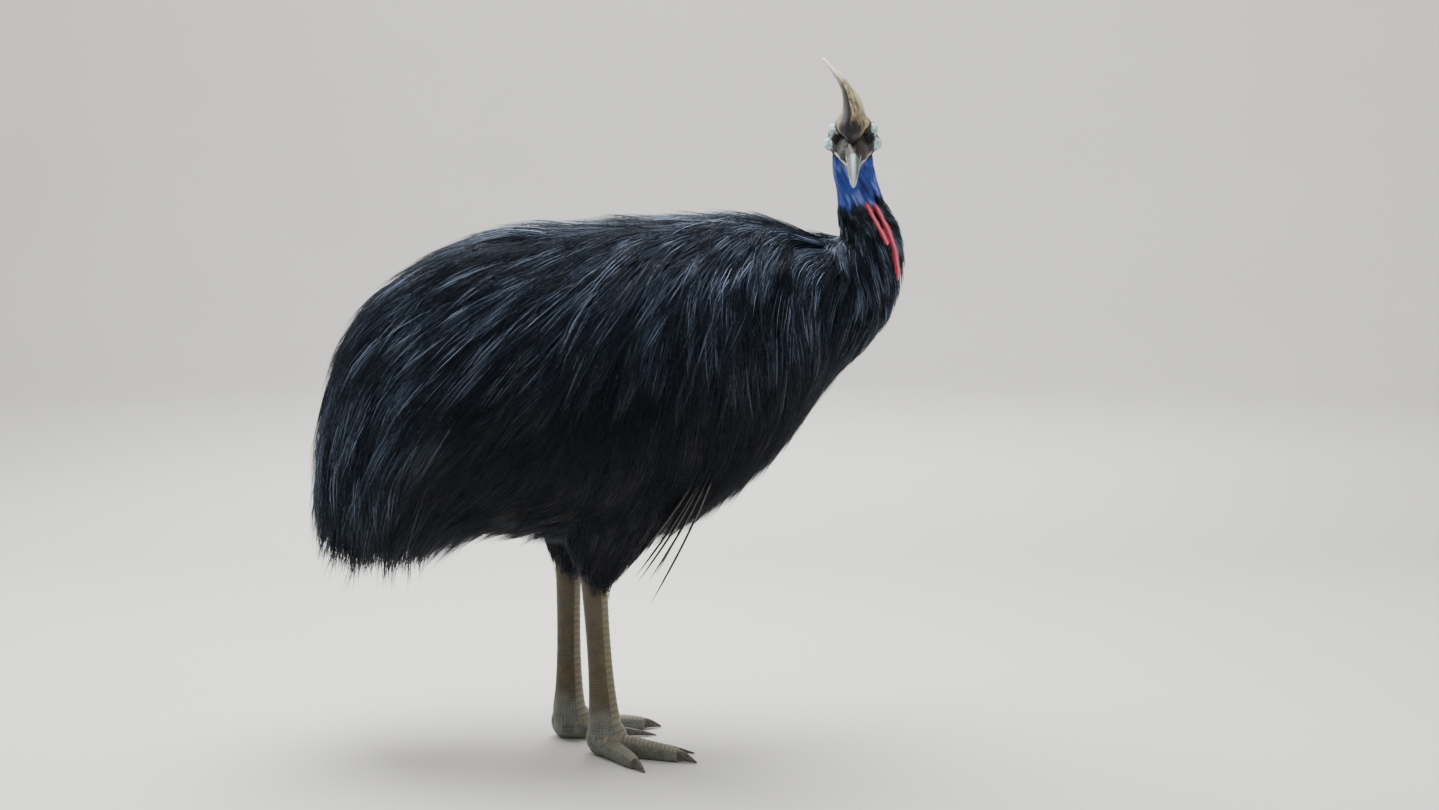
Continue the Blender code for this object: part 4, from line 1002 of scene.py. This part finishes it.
# A painted blue-grey sheen for the strands over the back, lightest on the brightest strands
painted_sheen_ramp = add_node(feather_material, "ValToRGB", Fac=tone, stops=(
    (0.0, "#090b10"), (1.0, "#93a3bb"), (0.45, "#1b212b"), (0.80, "#4c596d")))
brown = add_node(feather_material, "ValToRGB", Fac=tone, stops=(
    (0.0, "#040304"), (1.0, "#3a322d"), (0.50, "#090707"), (0.85, "#15110f")))
strand_colour = add_node(feather_material, "Mix", data_type="RGBA", Factor=warm, A=painted_sheen_ramp, B=brown)
feather_surface = add_node(feather_material, "BsdfPrincipled", Base_Color=strand_colour, Roughness=0.38,
                           IOR=1.42, Specular_Tint="#cfdcf2", Sheen_Weight=0.06, Sheen_Tint="#8fa6c8")
add_node(feather_material, "OutputMaterial", Surface=feather_surface)


def lay_coat(name, form, first, last, feathers, seed, length, width, fan, lean, deep, limit,
             slot="feathered_flesh", nodes=(), hang=None, crowd=None, wander=6):
    """One piece of the coat: feathers rooted in the skin between two places along a form. Width
    is a strand's and fan a feather's half width, as rows along the form."""
    draw = np.random.default_rng(seed)
    s, angle = scatter(form, feathers, first, last, draw, crowd)
    long = length(s, angle) * draw.uniform(0.80, 1.15, feathers)
    end = limit + draw.normal(0, 0.018, feathers) + draw.exponential(0.010, feathers)
    tip = deep(s) * (draw.uniform(0.0, 1.0, feathers) ** 1.5 * 0.6 - draw.exponential(0.05, feathers))
    drop = hang(s, angle) if hang else np.zeros(feathers)
    sway = np.radians(draw.normal(0, wander, feathers)) * (1 + np.exp(-(angle / 0.25) ** 2))
    root = deep(s) + ROOTED
    reached = comb(form, s, angle, long, lean, sway, root, tip, drop)[2]
    long = long * np.clip((end - s) / np.maximum(reached - s, 0.001), 0.1, 1)
    places, outs, _ = comb(form, s, angle, long, lean, sway, root, tip, drop)
    turn = np.arctan2(np.sin(angle), np.cos(angle)) / math.pi
    roots = np.stack([turn * 0.49 + 0.5, (s - first) / (last - first) * 0.98 + 0.01], 1)
    # Some feathers are brighter at random, and over the back these take the painted sheen
    bright = draw.uniform(0, 1, feathers) ** 1.6
    piece = strands(name, places, outs, from_rows(s, width), (bright, under_painted_sheen(places)), roots, draw,
                    from_rows(s, fan) * draw.uniform(0.7, 1.4, feathers))
    settle(piece, feather_material, slot, *nodes)


BODY_LIMIT = body.end + 0.022
NECK_FEATHERS = 1000
NECK_WIDTH = ((0.10, 0.0007), (0.16, 0.0009), (0.30, 0.0015))
NECK_FAN = ((0.10, 0.003), (0.16, 0.006), (0.30, 0.009))
NECK_CROWD = ((0.10, 2.0), (0.13, 2.6), (0.19, 1.5), (0.30, 1.0))
BODY_FEATHERS = 1220
BODY_FAN = ((0.0, 0.011),)
BODY_PIECES = (("coat_shoulders", 0.28, 0.46), ("coat_mantle", 0.46, 0.62), ("coat_back", 0.62, 0.78),
               ("coat_flanks", 0.78, 0.94), ("coat_rump", 0.94, 1.09))
lay_coat("coat_neck", body, 0.10, 0.30, NECK_FEATHERS, 21, coat_length, NECK_WIDTH, NECK_FAN,
         lean_of_body, under_coat, BODY_LIMIT, crowd=lambda s, angle: from_rows(s, NECK_CROWD))
for i, (name, first, last) in enumerate(BODY_PIECES):
    lay_coat(name, body, first, last, BODY_FEATHERS, 31 + i, coat_length, ((0.0, 0.0015),), BODY_FAN,
             lean_of_body, under_coat, BODY_LIMIT, hang=belly_hang, wander=8)
lay_coat("coat_tail", body, 1.08, 1.36, BODY_FEATHERS, 41, coat_length, ((0.0, 0.0016),), BODY_FAN,
         lean_of_body, under_coat, BODY_LIMIT, slot="tail_feather", nodes=["tail"], wander=8)

# The thighs' coat: shorter plumes that lie down the thigh and end in a ragged cuff at the hock.
THIGH_FEATHERS = 680
THIGH_PLUME = 0.085
for name, form in thighs.items():
    lay_coat("coat_thigh_" + name, form, -0.05, form.end - 0.01, THIGH_FEATHERS, 51 + len(name),
             lambda s, angle: np.full(len(s), THIGH_PLUME), ((0.0, 0.0015),), ((0.0, 0.007),),
             lambda s, angle: np.zeros(len(s)), under_thigh_coat(form), form.end + 0.012)


# The wings: vestigial stumps under the coat, each with five bare black quills like knitting
# needles, which hang below the belly and are all that shows.
WING_ROOT = (0.060, 0.112, 0.690)
WING_TIP = (0.005, 0.106, 0.625)
QUILL_TIPS = (
    (-0.127, 0.132, 0.310),
    (-0.130, 0.137, 0.354),
    (-0.151, 0.142, 0.352),
    (-0.156, 0.147, 0.362),
    (-0.182, 0.152, 0.364),
)
QUILL_RADIUS = 0.0026
QUILL_BOW = (0.012, 0.006)
QUILL_FORM = ((0.0, 1.0), (0.25, 1.0), (0.6, 0.85), (0.9, 0.55), (1.0, 0.12))
STUMP_FORM = ((-0.15, 0.006, 0.004), (0.1, 0.017, 0.010), (0.6, 0.016, 0.010), (1.1, 0.006, 0.005))
# Bare shafts polished by the undergrowth: near black, with a hard, narrow shine
quill_horn = new_material("bare_quill")
bands = add_node(quill_horn, "TexNoise", Vector=add_node(quill_horn, "TexCoord", out="Object"),
                 Scale=per_mm(12), Detail=3.0)
colour = add_node(quill_horn, "Mix", data_type="RGBA", Factor=bands, A="#08080a", B="#1a1716")
quill_surface = add_node(quill_horn, "BsdfPrincipled", Base_Color=colour, Roughness=0.25, IOR=1.55)
add_node(quill_horn, "OutputMaterial", Surface=quill_surface)
for name, side in (("left", 1), ("right", -1)):
    root, tip = (Vector((x, side * y, z)) for x, y, z in (WING_ROOT, WING_TIP))
    stump = Form([(*root.lerp(tip, share), 1, 0, -0.7, deep, wide) for share, deep, wide in STUMP_FORM])
    pieces = []
    for k, (x, y, z) in enumerate(QUILL_TIPS):
        start, end = root.lerp(tip, 0.70 + 0.07 * k), Vector((x, side * y, z))
        bow = Vector((QUILL_BOW[0], side * QUILL_BOW[1], 0.0))
        quill = Form([(*(start.lerp(end, share) + bow * math.sin(math.pi * share)), 0, side, 0,
                       QUILL_RADIUS * thick, QUILL_RADIUS * thick) for share, thick in QUILL_FORM])
        pieces.append(draw_out("quill", quill, np.linspace(0, quill.end, 40), 14, None, 0.001))
    wing = draw_out("wing_quills_" + name, stump, np.linspace(0, stump.end, 24), 20, None, 0.001)
    join(wing, pieces)
    settle(wing, quill_horn, "quill", "wing_" + name)


# The legs below the hock: bare and scaled, olive-brown to grey, with broad scutes down the
# front that lap like tiles and small plates behind. Three toes with scutes on top end in horn
# claws, and the inner one's is a dagger.
TARSUS_DEPTH = 0.047
TARSUS_FORM = ((-0.05, 1.06, 1.01), (0.0, 1.05, 1.00), (0.2, 1.00, 0.90), (0.45, 0.98, 0.80),
               (0.7, 1.05, 0.84), (0.88, 1.20, 1.00), (1.0, 1.38, 1.20), (1.05, 1.40, 1.22))
ANKLE_TOP = 0.056
FOOT_PAD = ((0.004, 0, 0.032), (0.040, 0.036, 0.040))
SOLE_DIP = 0.0015
TOES = {
    # turn outward from the middle toe in degrees, root's shift outward, flesh, claw, half width
    "inner": (-15, -0.014, 0.086, 0.082, 0.0160),
    "middle": (0, 0.000, 0.152, 0.038, 0.0180),
    "outer": (35, 0.006, 0.114, 0.036, 0.0165),
}
TOE_FORM = ((0.05, 1.25), (0.28, 1.12), (0.52, 1.0), (0.78, 0.88), (1.0, 0.70))
CLAW_FORM = ((0.0, 0.66, 0.60), (0.3, 0.62, 0.52), (0.7, 0.38, 0.30), (1.0, 0.12, 0.08))
CLAW_IN = 0.004
CLAW_OFF_FLOOR, SOLE_OFF_FLOOR = 0.0004, 0.0002
LEG_VOXEL = 0.00145
SCUTE_ON_SHIN = 0.0125
SCUTE_ON_TOE = 0.0085
SMALL_SCALE = 0.0052
SCALE_RISE, SCUTE_RISE, GROOVE_DEPTH = 0.0008, 0.0005, 0.0006


def cell_noise(i, j, seed):
    """A number from 0 to 1 that looks random, the same each time for the same cell."""
    value = np.sin(i * 127.1 + j * 311.7 + seed * 74.7) * 43758.5453
    return value - np.floor(value)


def plates(u, v, around, seed):
    """Small rounded plates on a grid of cells: 0 in the grooves between them, 1 on the plates."""
    iu, iv = np.floor(u), np.floor(v)
    best, second = np.full(len(u), 9.0), np.full(len(u), 9.0)
    for du in (-1, 0, 1):
        for dv in (-1, 0, 1):
            cu, cv = iu + du, (iv + dv) % around
            x = iu + du + 0.5 + 0.5 * (cell_noise(cu, cv, seed) - 0.5) - u
            y = iv + dv + 0.5 + 0.5 * (cell_noise(cu, cv, seed + 1) - 0.5) - v
            far = np.hypot(x, y)
            second = np.minimum(second, np.maximum(far, best))
            best = np.minimum(best, far)
    return soft_step(second - best, 0.0, 0.28)


def scutes(u):
    """Broad plates that lap towards the foot: 0 in the groove at the end of each, 1 on it."""
    part = u - np.floor(u)
    return np.sqrt(part) * (1 - soft_step(part, 0.86, 1.0))


# Dry, horny scales: a broken, dull shine on each plate, with painted shade in the grooves between,
# and dust that greys the foot
leg_skin = new_material("scaled_leg_skin")
here = add_node(leg_skin, "TexCoord", out="Object")
blotch = add_node(leg_skin, "TexNoise", Vector=here, Scale=per_mm(22), Detail=4.0)
grit = add_node(leg_skin, "TexNoise", Vector=here, Scale=per_mm(1.6), Detail=3.0)
shin = add_node(leg_skin, "Attribute", out="Fac", attribute_name="shin")
groove = add_node(leg_skin, "Attribute", out="Fac", attribute_name="plate")
front = add_node(leg_skin, "Attribute", out="Fac", attribute_name="front")
upper = add_node(leg_skin, "Mix", data_type="RGBA", Factor=blotch, A="#2f2a1c", B="#5f5435")
lower = add_node(leg_skin, "Mix", data_type="RGBA", Factor=blotch, A="#4e5049", B="#8d9086")
colour = add_node(leg_skin, "Mix", data_type="RGBA", Factor=shin, A=lower, B=upper)
pale_front = add_node(leg_skin, "Math", operation="MULTIPLY", Value=[front, 0.45])
colour = add_node(leg_skin, "Mix", data_type="RGBA", Factor=pale_front, A=colour, B="#a09779")
# Painted shade: the grooves between the plates are darkened to under half
shade = add_node(leg_skin, "MapRange", Value=groove, To_Min=0.45, To_Max=1.0)
colour = add_node(leg_skin, "Mix", data_type="RGBA", blend_type="MULTIPLY", Factor=1.0, A=colour,
                  B=add_node(leg_skin, "CombineColor", Red=shade, Green=shade, Blue=shade))
leg_surface = add_node(leg_skin, "BsdfPrincipled", Base_Color=colour, Roughness=0.5,
                       Normal=add_node(leg_skin, "Bump", Height=grit, Strength=0.4, Distance=0.0005))
add_node(leg_skin, "OutputMaterial", Surface=leg_surface)

# Claw horn scratched by the ground: dark, streaky, with a low shine
claw_horn = new_material("claw_horn")
here = add_node(claw_horn, "TexCoord", out="Object")
growth = add_node(claw_horn, "TexNoise", Vector=here, Scale=per_mm(4), Detail=4.0)
colour = add_node(claw_horn, "ValToRGB", Fac=growth, stops=((0.35, "#26241f"), (0.70, "#625d52")))
claw_surface = add_node(claw_horn, "BsdfPrincipled", Base_Color=colour, Roughness=0.38, IOR=1.54,
                        Normal=add_node(claw_horn, "Bump", Height=growth, Strength=0.3, Distance=0.0005))
add_node(claw_horn, "OutputMaterial", Surface=claw_surface)

for name, leg in LEGS.items():
    side = leg["side"]
    hock, foot = Vector(leg["hock"]), Vector(leg["foot"])
    ankle = Vector((foot.x, foot.y, ANKLE_TOP))
    half = TARSUS_DEPTH / 2
    tarsus = Form([(*(hock + (ankle - hock) * share), 1, 0, 0, half * deep, half * wide)
                   for share, deep, wide in TARSUS_FORM])
    stand = Matrix.Translation(foot) @ Matrix.Rotation(leg["yaw"], 4, "Z")
    flesh = [add_ball(*FOOT_PAD, stand)]
    tubes = [(tarsus, Matrix())]
    for toe, (turn, shift, length, claw_length, wide) in TOES.items():
        high = wide * 1.05
        turned = (stand @ Matrix.Translation((0, side * shift, 0))
                  @ Matrix.Rotation(side * math.radians(turn), 4, "Z"))
        form = Form(straight([(share * length, high * size - SOLE_DIP, high * size, wide * size)
                              for share, size in TOE_FORM]))
        part = draw_out("toe", form, np.linspace(0, form.end, 40), 32, None, 0.003)
        part.data.transform(turned)
        flesh.append(part)
        tubes.append((form, turned))
        claw_name = "_".join(("claw", toe, name))
        form = Form(straight([(length - CLAW_IN + share * (claw_length + CLAW_IN), high * rise, high * size,
                               wide * size * 0.9) for share, rise, size in CLAW_FORM]), blunt=1.8)
        claw = draw_out(claw_name + "_horn", form, np.linspace(0, form.end, 60), 40, None, 0.0006)
        points = coordinates(claw)
        points[:, 2] = np.maximum(points[:, 2], CLAW_OFF_FLOOR)
        reshape(claw, points)
        claw.data.transform(turned)
        settle(claw, claw_horn, "claw_horn", claw_name)
    lower_leg = draw_out("leg_" + name, tarsus, np.linspace(0, tarsus.end, 60), 48, None, 0.002)
    join(lower_leg, flesh)
    apply(lower_leg, "REMESH", mode="VOXEL", voxel_size=LEG_VOXEL)
    apply(lower_leg, "SMOOTH", factor=0.5, iterations=6)
    points = coordinates(lower_leg)
    closest, plate, ridge = np.full(len(points), 9.0), np.zeros(len(points)), np.zeros(len(points))
    for k, (form, matrix) in enumerate(tubes):
        back = np.array(matrix.inverted())
        local = points @ back[:3, :3].T + back[:3, 3]
        start, end = form.rows[0, :3], form.rows[-1, :3]
        s = np.clip((local - start) @ (end - start) / np.linalg.norm(end - start), 0, form.end)
        centre, _, up, across, depth, width, _ = form.sections(s)
        high, wide = ((local - centre) * up).sum(1), ((local - centre) * across).sum(1)
        angle = np.arctan2(wide, high)
        gap = np.abs(np.hypot(high / depth, wide / width) - 1) * np.minimum(depth, width)
        gap += np.linalg.norm(local - form.points(s, angle), axis=1)
        scute, small = (SCUTE_ON_SHIN, SMALL_SCALE) if k == 0 else (SCUTE_ON_TOE, SMALL_SCALE * 0.8)
        around = round(2 * math.pi * float(np.mean(width)) / small)
        tiles = scutes(s / scute + 0.12 * np.cos(2 * angle))
        cells = plates(s / small, (angle / (2 * math.pi) + 0.5) * around, around, 3 + k)
        front = 1 - soft_step(np.abs(angle), 0.85, 1.05)
        mine = gap < closest
        closest = np.where(mine, gap, closest)
        plate = np.where(mine, tiles * front + cells * (1 - front), plate)
        ridge = np.where(mine, front, ridge)
    normals = np.array([v.normal for v in lower_leg.data.vertices])
    raised = SCALE_RISE * plate + SCUTE_RISE * plate * ridge - GROOVE_DEPTH
    grown = points + normals * raised[:, None]
    grown[:, 2] = np.maximum(grown[:, 2], SOLE_OFF_FLOOR)
    reshape(lower_leg, grown)
    keep_marks(lower_leg, {"plate": plate, "front": ridge, "shin": soft_step(points[:, 2], 0.05, 0.12)})
    settle(lower_leg, leg_skin, "leg_scale", "tarsus_" + name, "foot_" + name,
           *["_".join(("toe", toe, name)) for toe in TOES])


size = {"cad": cad_box, "visual": [list(corner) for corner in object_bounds()]}
